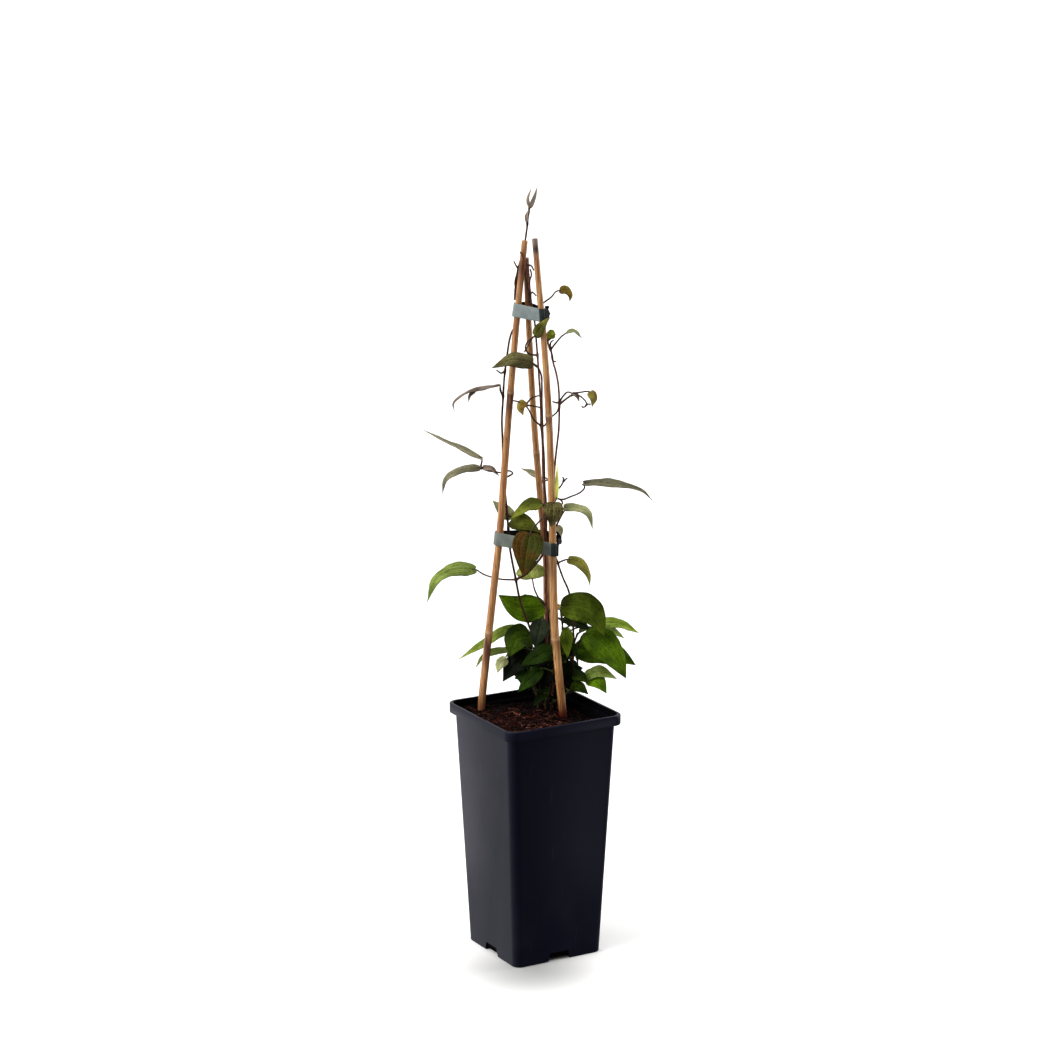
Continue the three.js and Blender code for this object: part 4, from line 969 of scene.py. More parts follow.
CLIMBERS = {
    "vine_left": {
        "root": (5, -38),
        "stems": [
            [(5, -39, 243), (-0.5, -34, 272), (-7, -30, 291.5), (-13, -26, 310.5), (-16.5, -24, 329.5),
             (-21.5, -24, 356.5), (-23, -24, 374.5), (-24.5, -25, 393.5), (-26, -25.5, 409.5),
             (-27.5, -26, 427.5), (-28, -25, 454), (-28.5, -24, 472), (-27.5, -22, 490),
             (-26.5, -21, 507.5), (-24, -21, 528.5), (-20.5, -22, 547.5), (-13, -21.3, 562),
             (-12, -20.8, 575), (-15.5, -20.6, 585), (-17, -20.5, 592), (-15.5, -20, 599),
             (-13.5, -20.5, 607.5), (-11.5, -21, 614.5), (-9, -21, 623), (-8, -19.5, 631),
             (-7, -17.5, 638), (-6, -16.5, 647.5), (-5, -16, 657.5)],
            [(-16.5, -24, 329.5), (-12.5, -23, 332), (-7.5, -21, 335.5), (0, -19, 344), (6, -17, 352.5),
             (9, -15.5, 363), (10, -14.5, 385.5), (9.5, -14.5, 403), (8.5, -14.5, 416.5), (8, -14, 439),
             (7, -13.5, 456.5), (6.5, -13, 474), (6, -12.5, 492), (6, -12.5, 505), (5.5, -12.5, 513.5),
             (3, -12.5, 519.5), (-0.5, -12, 523)],
            [(-17.1, -24, 576.7), (-16.6, -24, 587.1), (-14.5, -22, 599.5), (-12.4, -21, 608.3),
             (-10.2, -20, 615.3), (-8.5, -18.5, 621.5)],
            [(-4.2, -14, 574.1), (-5.9, -15, 585.1), (-7.6, -16, 595.3), (-9, -17, 605.4),
             (-10.7, -19, 614.6), (-11.7, -20, 619.1)],
        ],
        "twigs": [
            [(-13, -20, 605), (-16, -19, 607), (-18, -18, 611)],
            [(-26, -21, 516), (-29, -19, 514), (-33, -18, 517)],
            [(-28, -26, 420), (-23, -24.5, 422), (-19, -24, 425), (-23, -24.5, 427), (-29, -26, 425),
             (-35, -25, 426), (-41, -24, 427), (-47, -22, 430)],
            [(-27, -22, 493), (-29, -22, 497), (-30, -21, 502)],
        ],
        "leaves": [
            leaf(17, "meadow", 1.26, (-0.3, 0.5, 0.8),
                 [(-52, -27, 338), (-68, -25, 338), (-85, -22, 331), (-94, -18, 311)],
                 [(-16, -24, 329), (-30, -28, 329), (-44, -28, 333)]),
            leaf(17, "olive_green", 0.65, (0.1, 0.75, 0.6),
                 [(-21, -19, 383), (-8, -16, 382), (5, -14, 374)], [(-23, -23, 376)]),
            leaf(13, "grey_green", 1.35, (0, 0.8, 0.6),
                 [(-20, -27, 385), (-28, -29, 391), (-37, -31, 399)], [(-24, -25, 388)]),
            leaf(9, "sage", 0.67, (0.3, 0.3, 0.9),
                 [(-46, -22, 438.5), (-69, -20, 450), (-96, -14, 465)],
                 [(-47, -22, 430), (-48, -22, 433)]),
            leaf(10, "sage_dark", 1.21, (-0.2, 0.5, 0.8),
                 [(-48, -22, 430), (-66, -18, 428), (-77, -14, 421), (-80, -12, 409)], [(-45, -22, 429)]),
            leaf(7, "taupe", 1.44, (0, 0.5, 0.8),
                 [(-45, -22, 430), (-38, -24, 429), (-31, -26, 422)], [(-47, -22, 430)]),
            leaf(9, "taupe", 0.98, (-0.1, 0.15, 1),
                 [(-30, -20, 503), (-45, -17, 501), (-62, -13, 496), (-70, -9, 489), (-69, -8, 483)],
                 [(-27, -22, 493), (-30, -21, 499)]),
            leaf(3.5, "taupe", 2.42, (0, 0.6, 0.8),
                 [(-51, -16, 499), (-56, -15, 495), (-57, -14, 489)], [(-49, -16, 500)]),
            leaf(16, "dusky", 1.21, (-0.1, 0.75, 0.65),
                 [(-2, -12, 524), (-19, -9, 527), (-37, -5, 521)], [(1, -12, 522)]),
            leaf(3.4, "taupe", 1.49, (-0.6, 0.7, 0.2),
                 [(-5, -16, 658), (-6, -15, 665), (-3, -15, 674)], [(-6, -16, 653)]),
            leaf(4.2, "taupe", 2.05, (0.5, 0.8, 0.2),
                 [(-4.4, -15.4, 657), (-1, -16, 665), (2, -16, 675)], [(-5.2, -15.4, 652)]),
            leaf(3.5, "taupe", 1.77, (-0.5, 0.8, 0),
                 [(-7, -16, 645), (-7, -15, 651), (-5, -14, 656)], [(-7, -16, 643)]),
        ],
    },
    "vine_middle": {
        "root": (9, -35),
        "stems": [
            [(10.5, -35, 254), (10.5, -34, 286), (10, -32, 309), (9.5, -30, 337), (9, -27, 360),
             (8.5, -24.5, 378.5), (8.5, -24, 401), (7, -22, 428), (6.5, -20, 455), (5.5, -19, 467),
             (5, -18, 486.5), (4, -18, 504), (2.5, -17.5, 526), (1, -17.5, 545), (0, -17.5, 557),
             (-2, -16.5, 568.5), (-3.5, -16, 579), (-4.5, -15.5, 590), (-5.5, -14, 601.5),
             (-7, -12, 610.5), (-10, -11.5, 615.5), (-12.5, -12.5, 620)],
        ],
        "twigs": [
            [(-6, -12, 609), (-3, -12, 608), (-1, -12, 604)],
            [(-5, -15, 595), (-3, -14, 600), (-4, -14, 605)],
            [(-4, -16, 583), (-2, -14, 585), (1, -14, 582)],
            [(6, -19, 467), (-1, -17, 474), (-5, -16, 482), (-8, -14, 487)],
            [(-8, -14, 488), (-14, -14, 490), (-19, -14, 491)],
            [(-8, -14, 488), (-3, -14, 493), (2, -14, 495), (4, -16, 495)],
            [(-8, -14, 487), (-2, -16, 486), (5, -18, 484)],
            [(6, -19, 467), (8, -18, 468), (10, -16, 471)],
            [(1, -18, 547), (-3, -12, 545), (-6, -6, 540), (-9, -4, 535)],
        ],
        "leaves": [
            leaf(27, "bronze", 1.07, (-0.15, 0.95, 0.1),
                 [(-4, 3, 378), (-7, 8, 361), (-10, 5, 340)], [(8, -24, 387), (5, -12, 386)]),
            leaf(15, "olive_green", 1.02, (0, 0.5, 0.85),
                 [(6, -20, 399), (-6, -18.5, 397), (-21, -15, 386)], [(9, -24, 395)]),
            leaf(27, "pale_lime", 1.58, (0, 0.45, 0.9),
                 [(-2, -28, 329), (-4, -37, 336), (-5, -45, 344)],
                 [(10, -32, 304), (5, -31, 309), (0, -29, 319)]),
            leaf(10, "netted", 1.49, (-0.2, 0.9, 0.3),
                 [(0.5, -6, 549), (6, 1, 558.5), (13, 2, 566.5)],
                 [(1.5, -17.5, 530), (-5, -19, 531), (-8, -17, 536), (-6, -11, 543)]),
            leaf(9, "straw", 1.02, (-0.4, 0.8, 0.3),
                 [(-8, -14, 490), (-12, -12, 486), (-10, -13, 478)], [(-7, -15, 485)]),
            leaf(9, "sage", 0.88, (0, 0.4, 0.9),
                 [(5, -47.5, 416), (-3, -48, 420), (-12, -48, 424)],
                 [(7, -24, 418), (11, -38, 416), (9, -46, 416)]),
        ],
    },
    "vine_right": {
        "root": (15, -30),
        "stems": [
            [(18, -25, 246.5), (18.5, -21, 276.5), (17.5, -18, 304.5), (17, -15, 331.5),
             (15.5, -13.5, 354.5), (15, -12.5, 377), (16, -12, 399.5), (16.5, -11.5, 421.5),
             (17.5, -11, 437), (19, -10, 452), (20.5, -9, 466), (21, -8, 490), (20, -8, 506.5),
             (18, -9, 517), (15.5, -10.5, 525.5), (14, -11.5, 534), (12, -12.5, 539),
             (10, -13.5, 545.5), (8, -13.5, 554.5), (5, -13.5, 564.5), (5, -13, 576)],
        ],
        "twigs": [
            [(21, -8, 490), (18, -10, 490), (15, -10, 491)],
            [(21, -8, 487), (19, -9, 482), (15, -10, 478)],
            [(14, -11, 530), (16, -10, 526), (18, -9, 526)],
            [(13, -12, 537), (14, -11, 543), (16, -10, 544)],
            [(17, -12, 410), (22, -10, 416), (25, -9, 421), (28, -9, 424)],
            [(25, -9, 420), (25, -9, 423), (24, -9, 425)],
            [(22, -8, 489), (27, -7, 494), (32, -6, 497), (38, -5, 497), (43, -4, 493), (45, -4, 490),
             (48, -4, 490)],
            [(45, -4, 490), (42, -4, 487), (40, -4, 488)],
        ],
        "leaves": [
            leaf(8, "tawny", 0.74, (0.3, 0.8, 0.5),
                 [(21, -5, 588), (26.5, -3, 588.5), (30, -2, 584), (29.5, -2, 579)],
                 [(5, -13, 575), (8, -11, 577), (14, -8, 582), (18, -6, 587)]),
            leaf(8, "olive_green", 2.88, (0.2, 0.9, 0.4),
                 [(13.5, -11, 545.5), (14, -9.5, 551), (18, -8, 549.5)], [(12, -13, 543)]),
            leaf(7, "grey_green", 1.3, (0, 0.3, 1),
                 [(27, -8, 551), (33, -7, 553), (40, -6, 547)],
                 [(13, -12, 536), (18, -10, 542), (23, -9, 548)]),
            leaf(5, "taupe", 1.02, (0.4, 0.6, 0.6),
                 [(32, -6, 499), (36, -5, 497), (38, -4, 492)],
                 [(21, -8, 490), (24, -7, 496), (28, -6, 500)]),
            leaf(8, "straw", 0.93, (0.3, 0.9, 0.1),
                 [(47, -3, 501), (50, -2, 496), (49, -2, 488)],
                 [(22, -8, 490), (34, -6, 499), (39, -5, 500), (44, -4, 501)]),
            leaf(17, "striped", 1.26, (0, 1, 0),
                 [(16, 2, 405), (16, 4, 395), (14, 2, 383)],
                 [(16, -12, 406), (21, -11, 405), (24, -6, 403), (22, 0, 402), (18, 2, 404)]),
            leaf(11, "sage_dark", 0.79, (0, 0.45, 0.9),
                 [(42, -2, 421), (59, 2, 422), (77, 6, 421), (93, 8, 416), (101, 8, 408)],
                 [(16, -12, 406), (24, -9, 405), (31, -7, 408), (39, -5, 412), (43, -3, 417)]),
            leaf(4, "pale_lime", 7.44, (0.3, 1, 0),
                 [(18.5, -9.5, 405), (19, -9, 422), (20, -8, 438)], [(16, -12, 402)]),
        ],
    },
    "vine_side": {
        "root": (20, -28),
        "stems": [
            [(25, -27, 230), (32, -27, 248), (34.5, -26, 265), (34, -24, 281.5), (33, -24.5, 298),
             (30, -25, 318), (24.5, -17, 333.5), (20, -13, 347.5), (17, -16.5, 356.5), (15.5, -18, 364),
             (16.5, -17, 373.5), (18.5, -14, 380)],
        ],
        "leaves": [
            leaf(11, "grey_green", 1.53, (0.2, 0.5, 0.8),
                 [(25, -9, 398), (36, -6, 398), (46, -3, 394), (50, -1, 381)],
                 [(18, -14, 380), (23, -11, 390), (26, -10, 396)]),
            leaf(10, "netted", 1.67, (0.3, 0.75, 0.55),
                 [(29, -8, 352), (39, -5, 349), (46, -3, 340), (48, -2, 330)],
                 [(20, -13, 347), (24, -10, 350)]),
            leaf(6.5, "sage", 1.3, (0.3, 0.9, 0.2),
                 [(19, -13, 380), (22, -11, 377), (23, -9, 372)], [(18, -14, 379)]),
        ],
    },
}

SHOOTS = {
    "shoot_1": {
        "root": (12, -42),
        "stems": [
            [(12.5, -41, 234.5), (13, -40, 261.5), (12.5, -40.5, 284.5), (11, -41, 300)],
        ],
        "leaves": [
            leaf(26, "fresh", 1.12, (0, 0.85, 0.5), [(9, -41, 300), (-13, -37, 300.5), (-32, -34, 313)]),
            leaf(18, "slate", 0.56, (-0.3, 0.9, -0.1),
                 [(7, -30, 292), (4, -25, 283), (0, -21, 269)], [(12, -40, 284), (8, -37, 290)]),
            leaf(15, "moss", 2.23, (0.1, -0.3, 0.9), [(20, -45, 297), (27, -56, 297), (31, -70, 292)]),
        ],
    },
    "shoot_2": {
        "root": (4, -33),
        "stems": [
            [(4.5, -31, 236.5), (0.5, -31, 259), (-5, -32, 274.5), (-8.5, -33, 282.5)],
        ],
        "leaves": [
            leaf(11, "lime", 0.73, (-0.1, 0.6, 0.8),
                 [(-10, -33, 284), (-26, -35, 280), (-44, -36, 269), (-67, -36, 254)]),
            leaf(26, "shaded", 0.79, (-0.15, 0.8, 0.55),
                 [(-3, -30, 276), (-15, -23, 276), (-22, -16, 262)]),
            leaf(18, "deep", 0.93, (-0.2, -0.3, 0.9), [(-6, -38, 277), (-13, -50, 270), (-17, -62, 262)]),
        ],
    },
    "shoot_3": {
        "root": (3, -28),
        "stems": [
            [(1, -30, 227.5), (-4, -30, 244), (-8.5, -31, 254.5), (-14, -33, 261.5)],
        ],
        "leaves": [
            leaf(9, "meadow", 1.12, (0, 0.5, 0.9),
                 [(-18, -34, 263), (-36, -35, 261), (-46, -35, 256), (-52, -34, 247)]),
            leaf(10, "grey_green", 2.23, (0.2, 0.9, 0.3),
                 [(-24, -21, 258), (-30, -17, 255.5), (-32.5, -15, 247.5)]),
            leaf(21, "deep", 0.56, (-0.3, 0.8, 0.5), [(-4, -27, 259), (-16, -21, 255), (-28, -17, 239)]),
            leaf(14, "deep", 0.56, (-0.2, -0.2, 0.9),
                 [(-12, -40, 254), (-20, -50, 246), (-25, -58, 236)]),
        ],
    },
    "shoot_4": {
        "root": (10, -24),
        "stems": [
            [(13.5, -20, 230), (17, -15.5, 251), (22, -16, 271.5), (26, -17.6, 287)],
        ],
        "leaves": [
            leaf(17, "forest", 0.67, (0, 0.8, 0.6), [(18, -14, 268), (6, -13, 265), (-12, -10, 255)]),
            leaf(15, "forest", 0.93, (-0.2, 0.85, 0.5), [(6, -18, 251), (-4, -14, 242), (-15, -10, 231)]),
            leaf(8, "deep", 1.02, (-0.2, 0.8, 0.5), [(9, -19, 227.5), (4, -15, 224), (-1, -11, 218)]),
            leaf(15, "deep", 0.09, (-0.1, 0.9, 0.3),
                 [(12, -19, 254), (10, -16, 244), (6, -14, 232)], [(14, -20, 240)]),
            leaf(13, "deep", 0.56, (0.3, 0.9, 0.2),
                 [(27, -19, 257), (29.5, -20, 246), (29, -20, 232)], [(17, -16, 248), (21, -17, 252)]),
            leaf(12, "grass", 1.95, (-0.2, 0.95, 0.1),
                 [(28, -17, 288), (28, -13.5, 276), (29, -12.5, 262)]),
            leaf(6, "forest", 1.07, (0.4, 0.8, 0), [(31, -17, 276), (36, -15, 267), (38, -14, 256)]),
        ],
    },
    "shoot_5": {
        "root": (15, -37),
        "stems": [
            [(20.5, -41, 233.5), (24, -43, 260.5), (24.5, -43, 283.5), (23, -43, 297)],
        ],
        "leaves": [
            leaf(28, "grass", 0.84, (0.1, 0.85, 0.5),
                 [(23, -14.5, 307), (36, -12, 308.5), (50, -9, 303.5), (61, -7, 283.5)],
                 [(23, -42, 297), (24, -28, 303)]),
            leaf(16, "forest", 0.3, (0, 0.5, 0.85), [(27, -38, 293), (37, -32, 289), (49, -29, 283)]),
            leaf(12, "lime", 1.77, (0.1, 0.6, 0.8),
                 [(55, -47, 284), (74, -46, 284), (92, -44, 276)], [(26, -44, 280), (42, -50, 285)]),
            leaf(10, "meadow", 1.95, (0.1, 0.6, 0.8),
                 [(56, -42, 281), (68, -40, 279), (79, -38, 273)], [(26, -43, 275), (40, -45, 281)]),
            leaf(19, "deep", 0.93, (0.1, -0.3, 0.9), [(22, -50, 288), (27, -64, 282), (33, -78, 273)]),
        ],
    },
    "shoot_6": {
        "root": (19, -34),
        "stems": [
            [(25, -33.5, 230), (32, -34, 251), (37.5, -32, 267), (41.5, -29, 276.5)],
        ],
        "leaves": [
            leaf(30, "fresh", 0.78, (0.15, 0.75, 0.65),
                 [(44, -25, 281), (58, -17, 273.5), (70, -11, 262), (80, -7, 245)]),
            leaf(26, "shaded", 1.58, (0.1, 0.9, 0.4),
                 [(35, -33, 263), (58, -31, 264), (75, -30, 259), (89, -28, 251)]),
        ],
    },
    "shoot_7": {
        "root": (15, -24),
        "stems": [
            [(24, -22, 222.5), (33, -20, 232), (40, -19, 240)],
        ],
        "leaves": [
            leaf(14, "meadow", 1.3, (0, 0.6, 0.8), [(43, -20, 242), (57, -16, 248), (72, -12, 243)]),
            leaf(15, "fresh", 1.58, (0.1, 0.8, 0.6), [(45, -17, 241), (55, -12, 241), (63, -8, 231)]),
            leaf(11, "shaded", 0.79, (0, 0.8, 0.6), [(32, -17, 234), (39, -12, 235.5), (47, -8, 230)]),
            leaf(11, "shaded", 0.42, (0.1, 0.8, 0.5),
                 [(33, -14.5, 244), (39, -11, 246), (46.5, -8, 240.5)], [(39, -19.2, 239)]),
        ],
    },
    "shoot_8": {
        "root": (4, -44),
        "stems": [
            [(2, -47, 236), (-3, -53, 256), (-6, -57, 272)],
        ],
        "leaves": [
            leaf(16, "grass", 0.93, (-0.2, -0.5, 0.8),
                 [(-8, -60, 272), (-16, -72, 272), (-22, -84, 262)]),
            leaf(15, "meadow", 0.93, (-0.6, -0.3, 0.8),
                 [(-6, -56, 258), (-18, -60, 256), (-29, -60, 246)]),
            leaf(14, "forest", 0.93, (0.2, -0.6, 0.8), [(0, -54, 248), (2, -66, 246), (0, -78, 236)]),
        ],
    },
    "shoot_9": {
        "root": (11, -48),
        "stems": [
            [(8, -52, 238), (7, -58, 260), (8, -65, 280)],
        ],
        "leaves": [
            leaf(17, "fresh", 0.93, (0, -0.5, 0.8), [(9, -69, 283), (9, -82, 283), (6, -95, 273)]),
            leaf(16, "grass", 0.93, (0.3, -0.5, 0.8), [(11, -63, 266), (20, -75, 264), (28, -87, 252)]),
            leaf(14, "forest", 0.93, (-0.3, -0.4, 0.8), [(4, -60, 260), (-4, -70, 260), (-11, -80, 250)]),
        ],
    },
    "shoot_10": {
        "root": (19, -42),
        "stems": [
            [(24, -46, 236), (32, -52, 256), (38, -56, 272)],
        ],
        "leaves": [
            leaf(18, "grass", 0.74, (0.3, -0.4, 0.8), [(41, -58, 273), (52, -66, 274), (62, -72, 262)]),
            leaf(15, "meadow", 0.93, (0.5, 0, 0.9), [(38, -52, 262), (52, -52, 262), (64, -54, 252)]),
            leaf(15, "deep", 0.93, (0, -0.6, 0.8), [(33, -56, 256), (34, -70, 254), (33, -84, 242)]),
        ],
    },
}
print("leaves:", sum(len(plant["leaves"]) for plant in {**CLIMBERS, **SHOOTS}.values()))

# %% [markdown]
# ## The colours of the leaves
#
# A pot-grown clematis late in the season has every colour at once: young shoots at its foot are
# fresh green, and the old leaves high on the canes turn olive, bronze and dusky brown. The shaded and
# deep colours are painted shade, nearly black, for the leaves in the shade of the others. Each name
# below is a main colour, a second one for its patches and margin, and how strongly its veins stand out.

# %% Name the leaf colours
LEAF_COLOURS = {
    "fresh": ("#4d6a02", "#2c4002", 0.35),
    "grass": ("#4e5e0e", "#303c06", 0.4),
    # Painted shade: shaded and deep are for leaves in shade.
    "shaded": ("#354a02", "#1a2a02", 0.35),
    "meadow": ("#616f32", "#44501c", 0.55),
    "lime": ("#84953a", "#56681c", 0.45),
    "pale_lime": ("#7d8440", "#545a28", 0.6),
    "forest": ("#243a04", "#122002", 0.3),
    "deep": ("#111c04", "#080e02", 0.25),
    "slate": ("#343d29", "#22291b", 0.35),
    "moss": ("#5e4c2c", "#3a3018", 0.6),
    "sage": ("#a39f7e", "#79775a", 0.5),
    "sage_dark": ("#6d6b52", "#4c493a", 0.5),
    "olive_green": ("#646a1e", "#3c4210", 0.5),
    "bronze": ("#48300e", "#34360e", 0.6),
    "striped": ("#4a4522", "#2a2412", 1.7),
    "netted": ("#5d5a22", "#33340e", 1.0),
    "straw": ("#968a40", "#6a5424", 0.5),
    "tawny": ("#74621c", "#3c2611", 1.5),
    "grey_green": ("#84855c", "#5d5f40", 0.5),
    "dusky": ("#565230", "#302c18", 0.8),
    "taupe": ("#786b60", "#54483d", 0.4),
}

# %% [markdown]
# ## A leaf
#
# A clematis leaflet is a shallow trough: it folds up from the midrib, droops again toward its
# margin, and the margin waves. Two lesser veins arch from base to tip on either side, and the blade
# swells a little between them. The leaf starts as a flat grid. Each point slides to its place across
# and along the midrib, and the sheet gets its thickness from a Solidify modifier.

# %% Shape one leaf
BLADE_FOLD, BLADE_DROOP, BLADE_WAVE, BLADE_WAVES = 0.34, 0.24, 0.06, 2
BLADE_LOBE, BLADE_LOBE_FADE, BLADE_POINT, BLADE_CROWDING = 0.1, 5, 0.45, 1.25
BLADE_CURL, BLADE_CURLS, BLADE_UNEVEN, BLADE_THICKNESS = 0.012, 6.5, 0.05, 0.45
MIDRIB, MIDRIB_WIDE, VEIN, VEIN_WIDE, RIPPLE = 0.45, 0.06, 0.2, 0.05, 0.5
VEIN_PLACES, NET_CELLS = (0.42, 0.74), (7, 10, 1)
SMALL_LEAF, CELLS_ACROSS, CELLS_ALONG, OWN_TONE = 6, 0.62, 0.85, 0.1


def leaf_width_at(along, belly):
    return max(0, math.sin(math.pi * along**belly) ** 0.85 * (1 - 0.3 * along**3))


def relief_at(side, station, fullness, seed):
    """How far the skin stands out, in mm: sunk along the veins and swollen between them."""
    sunk = MIDRIB * fading(side, MIDRIB_WIDE)
    for vein in VEIN_PLACES:
        sunk += VEIN * fading(abs(side) - vein, VEIN_WIDE)
    ripple = noise.noise(Vector((side * 3, station * 7, seed)))
    return fullness * (RIPPLE * ripple - sunk)


def add_leaf(bm, one, belly):
    """Adds one leaf's upper skin to the mesh of all the leaves of a stem, and gives its midrib. The
    cells of the skin are about a millimetre across, and longer on the smallest leaves."""
    spine = Line([show(point) for point in one["rib"]])
    width, length, up = one["width"], spine.length, show(one["face"]).normalized()
    phase = one["rib"][0][0] + one["rib"][0][2]
    small = width < SMALL_LEAF
    across = 8 if small else max(14, min(30, 2 * round(width * CELLS_ACROSS)))
    along = 10 if small else max(16, min(40, round(length * CELLS_ALONG)))
    main, second, veined = LEAF_COLOURS[one["colour"]]
    sheet = bmesh.new()
    sheet.loops.layers.uv.new("UVMap")
    tone, dark = [sheet.verts.layers.float_color.new(key) for key in ("leaf_tone", "leaf_dark")]
    pale = sheet.verts.layers.float.new("leaf_veined")
    bmesh.ops.create_grid(sheet, x_segments=across, y_segments=along, size=1, calc_uvs=True)
    own = 1 + random.uniform(-OWN_TONE, OWN_TONE)
    # Painted light and shade: both colours are scaled by the leaf's depth, darker for a leaf in shade and
    # paler for a lit one.
    main, second = [Vector(linear(code)) * own * one["depth"] for code in (main, second)]
    lean = math.copysign(0.4, math.sin(7 * phase))
    for vert in sheet.verts:
        side, station = vert.co.x, ((vert.co.y + 1) / 2) ** BLADE_CROWDING
        spread = side**2
        fullness = leaf_width_at(station, belly)
        drift = noise.noise(Vector((station * 6, math.copysign(2, side), phase)))
        uneven = 1 + BLADE_UNEVEN * spread * drift
        half = max(BLADE_POINT * (0.5 if station > 0.5 else 1), width / 2 * fullness) * uneven
        tangent = spine.along(station)
        normal = (up - tangent * up.dot(tangent)).normalized()
        outward = tangent.cross(normal)
        back = BLADE_LOBE * length * spread * (1 - station) ** BLADE_LOBE_FADE * fullness
        wave = BLADE_WAVE * width * spread * math.sin(2 * math.pi * BLADE_WAVES * station + phase + side)
        wave += BLADE_CURL * width * spread * math.sin(2 * math.pi * BLADE_CURLS * station + 3 * phase)
        lift = half * (BLADE_FOLD * abs(side) ** 1.15 - BLADE_DROOP * spread) + wave * fullness
        lift += relief_at(side, station, fullness, phase) * min(1, width / 12)
        vert.co = spine.at(station) + outward * (half * side) + normal * lift - tangent * back
        # One half of each leaf leans toward its second colour: partly the leaf's own two tones, partly
        # painted shade of its fold.
        patch = 0.45 + 1.3 * noise.noise(vert.co / 12) + lean * side
        vert[tone] = main.lerp(second, min(max(patch, 0), 1)) * (0.84 + 0.32 * station)
        vert[dark] = second * 0.7
        vert[pale] = veined
    mesh = bpy.data.meshes.new("leaf")
    sheet.to_mesh(mesh)
    sheet.free()
    bm.from_mesh(mesh)
    bpy.data.meshes.remove(mesh)
    return spine


# %% [markdown]
# ## Leaf skin
#
# The upper side of a leaf is a thin waxy skin over green flesh. Its gloss is broken by the net of
# veins, which shows paler than the flesh. The veins follow the leaf, so they and the net of cells
# between them are drawn from its UV map, drifting a little with the place so that no two leaves are
# alike. The underside is paler and matt, with the veins standing out.


# %% Make the two skins of a leaf
def leaf_skin(name, under):
    material, tree, shader, place = new_material(name, IOR=1.45, Specular_IOR_Level=0.04)
    uv = add(tree, "UVMap").outputs["UV"]
    side = add(tree, "SeparateXYZ", None, Vector=uv).outputs["X"]
    side = add(tree, "Math", {"operation": "SUBTRACT", 1: 0.5}, n0=side)
    side = add(tree, "Math", {"operation": "ABSOLUTE"}, n0=side)
    veins = add(tree, "MapRange", {**SMOOTH, 1: 0.012, 2: 0.035, 3: 1, 4: 0}, n0=side)
    for spot in VEIN_PLACES:
        away = add(tree, "Math", {"operation": "SUBTRACT", 1: spot / 2}, n0=side)
        away = add(tree, "Math", {"operation": "ABSOLUTE"}, n0=away)
        arch = add(tree, "MapRange", {**SMOOTH, 1: 0.006, 2: 0.026, 3: 0.75, 4: 0}, n0=away)
        veins = add(tree, "Math", {"operation": "MAXIMUM"}, n0=veins, n1=arch)
    drift = add(tree, "VectorMath", {"operation": "SCALE", "Scale": 60.0}, Vector=place)
    meshed = add(tree, "Mapping", {"Scale": NET_CELLS}, Vector=uv)
    meshed = add(tree, "VectorMath", {"operation": "ADD"}, n0=meshed, n1=drift)
    net = add(tree, "TexVoronoi", {"feature": "DISTANCE_TO_EDGE", "Scale": 1.0}, Vector=meshed)
    net = add(tree, "MapRange", {**SMOOTH, 1: 0.0, 2: 0.16, 3: 0.5, 4: 0}, n0=net)
    veins = add(tree, "Math", {"operation": "MAXIMUM"}, n0=veins, n1=net)
    main = add(tree, "Attribute", {"attribute_name": "leaf_tone"}).outputs["Color"]
    dark = add(tree, "Attribute", {"attribute_name": "leaf_dark"}).outputs["Color"]
    mottle = add(tree, "TexNoise", grain(2.5, 4), Vector=place)
    share = add(tree, "MapRange", {**SMOOTH, 1: 0.45, 2: 0.7, 4: 0.5}, n0=mottle)
    tone = add(tree, "Mix", COLOUR, Factor=share, A=main, B=dark)
    margin = add(tree, "MapRange", {**SMOOTH, 1: 0.46, 2: 0.5, 4: 0.7}, n0=side)
    tone = add(tree, "Mix", COLOUR, Factor=margin, A=tone, B=dark)
    strength = add(tree, "Attribute", {"attribute_name": "leaf_veined"}).outputs["Fac"]
    shown = add(tree, "Math", {"operation": "MULTIPLY"}, n0=veins, n1=strength)
    paler = add(tree, "HueSaturation", {"Saturation": 0.92, "Value": 2.4}, Color=main)
    tone = add(tree, "Mix", COLOUR, Factor=shown, A=tone, B=paler)
    if under:
        share = add(tree, "MapRange", {3: 0.3, 4: 0.5}, n0=veins)
        tone = add(tree, "Mix", {**COLOUR, "B": "#6d7658"}, Factor=share, A=tone)
    low, high = (0.6, 0.75) if under else (0.45, 0.62)
    rough = add(tree, "MapRange", {1: 0.3, 2: 0.7, 3: low, 4: high}, n0=mottle)
    sunk = {"Distance": 0.25 * MM, "Strength": 0.5, "invert": not under}
    bump = add(tree, "Bump", sunk, Height=veins)
    link(tree, shader, Base_Color=tone, Roughness=rough, Normal=bump)
    return material


leaf_top = leaf_skin("waxy upper skin of a leaf", False)
leaf_under = leaf_skin("matt underside of a leaf", True)

# %% [markdown]
# ## Stems and stalks
#
# A clematis stem is thin and woody, ribbed along its length, and thickens at each node where a leaf
# stalk leaves it. Stems, twigs and stalks are strands with a radius at every point: they taper, and
# swell where something is rooted in them.

# %% Measure and draw the strands of one leafy stem
STEM, STALK, TWIG = (2.2, 1.6), (1.7, 1.3), (1.7, 1.3)
STEM_STEP, ROOT_END, SOIL_CLEAR = 1.6, 190, 216
STALK_REACH, KNOT_REACH, KNOT_SWELL = 0.06, 1.8, 0.45


def strand(points, size, knots=(), seed=0.0):
    """Points along a stem and the radius at each, thicker round its knots and nowhere quite even."""
    line = Line(points)
    steps = line.steps(STEM_STEP)
    radii = []
    for k, point in enumerate(steps):
        radius = (size[0] + (size[1] - size[0]) * k / (len(steps) - 1)) / 2
        radius *= 1 + 0.07 * noise.noise(point / 5 + Vector((seed, 0, 0)))
        swell = max([fading((point - knot).length, KNOT_REACH) for knot in knots] or [0])
        radii.append(radius * (1 + KNOT_SWELL * swell))
    return steps, radii


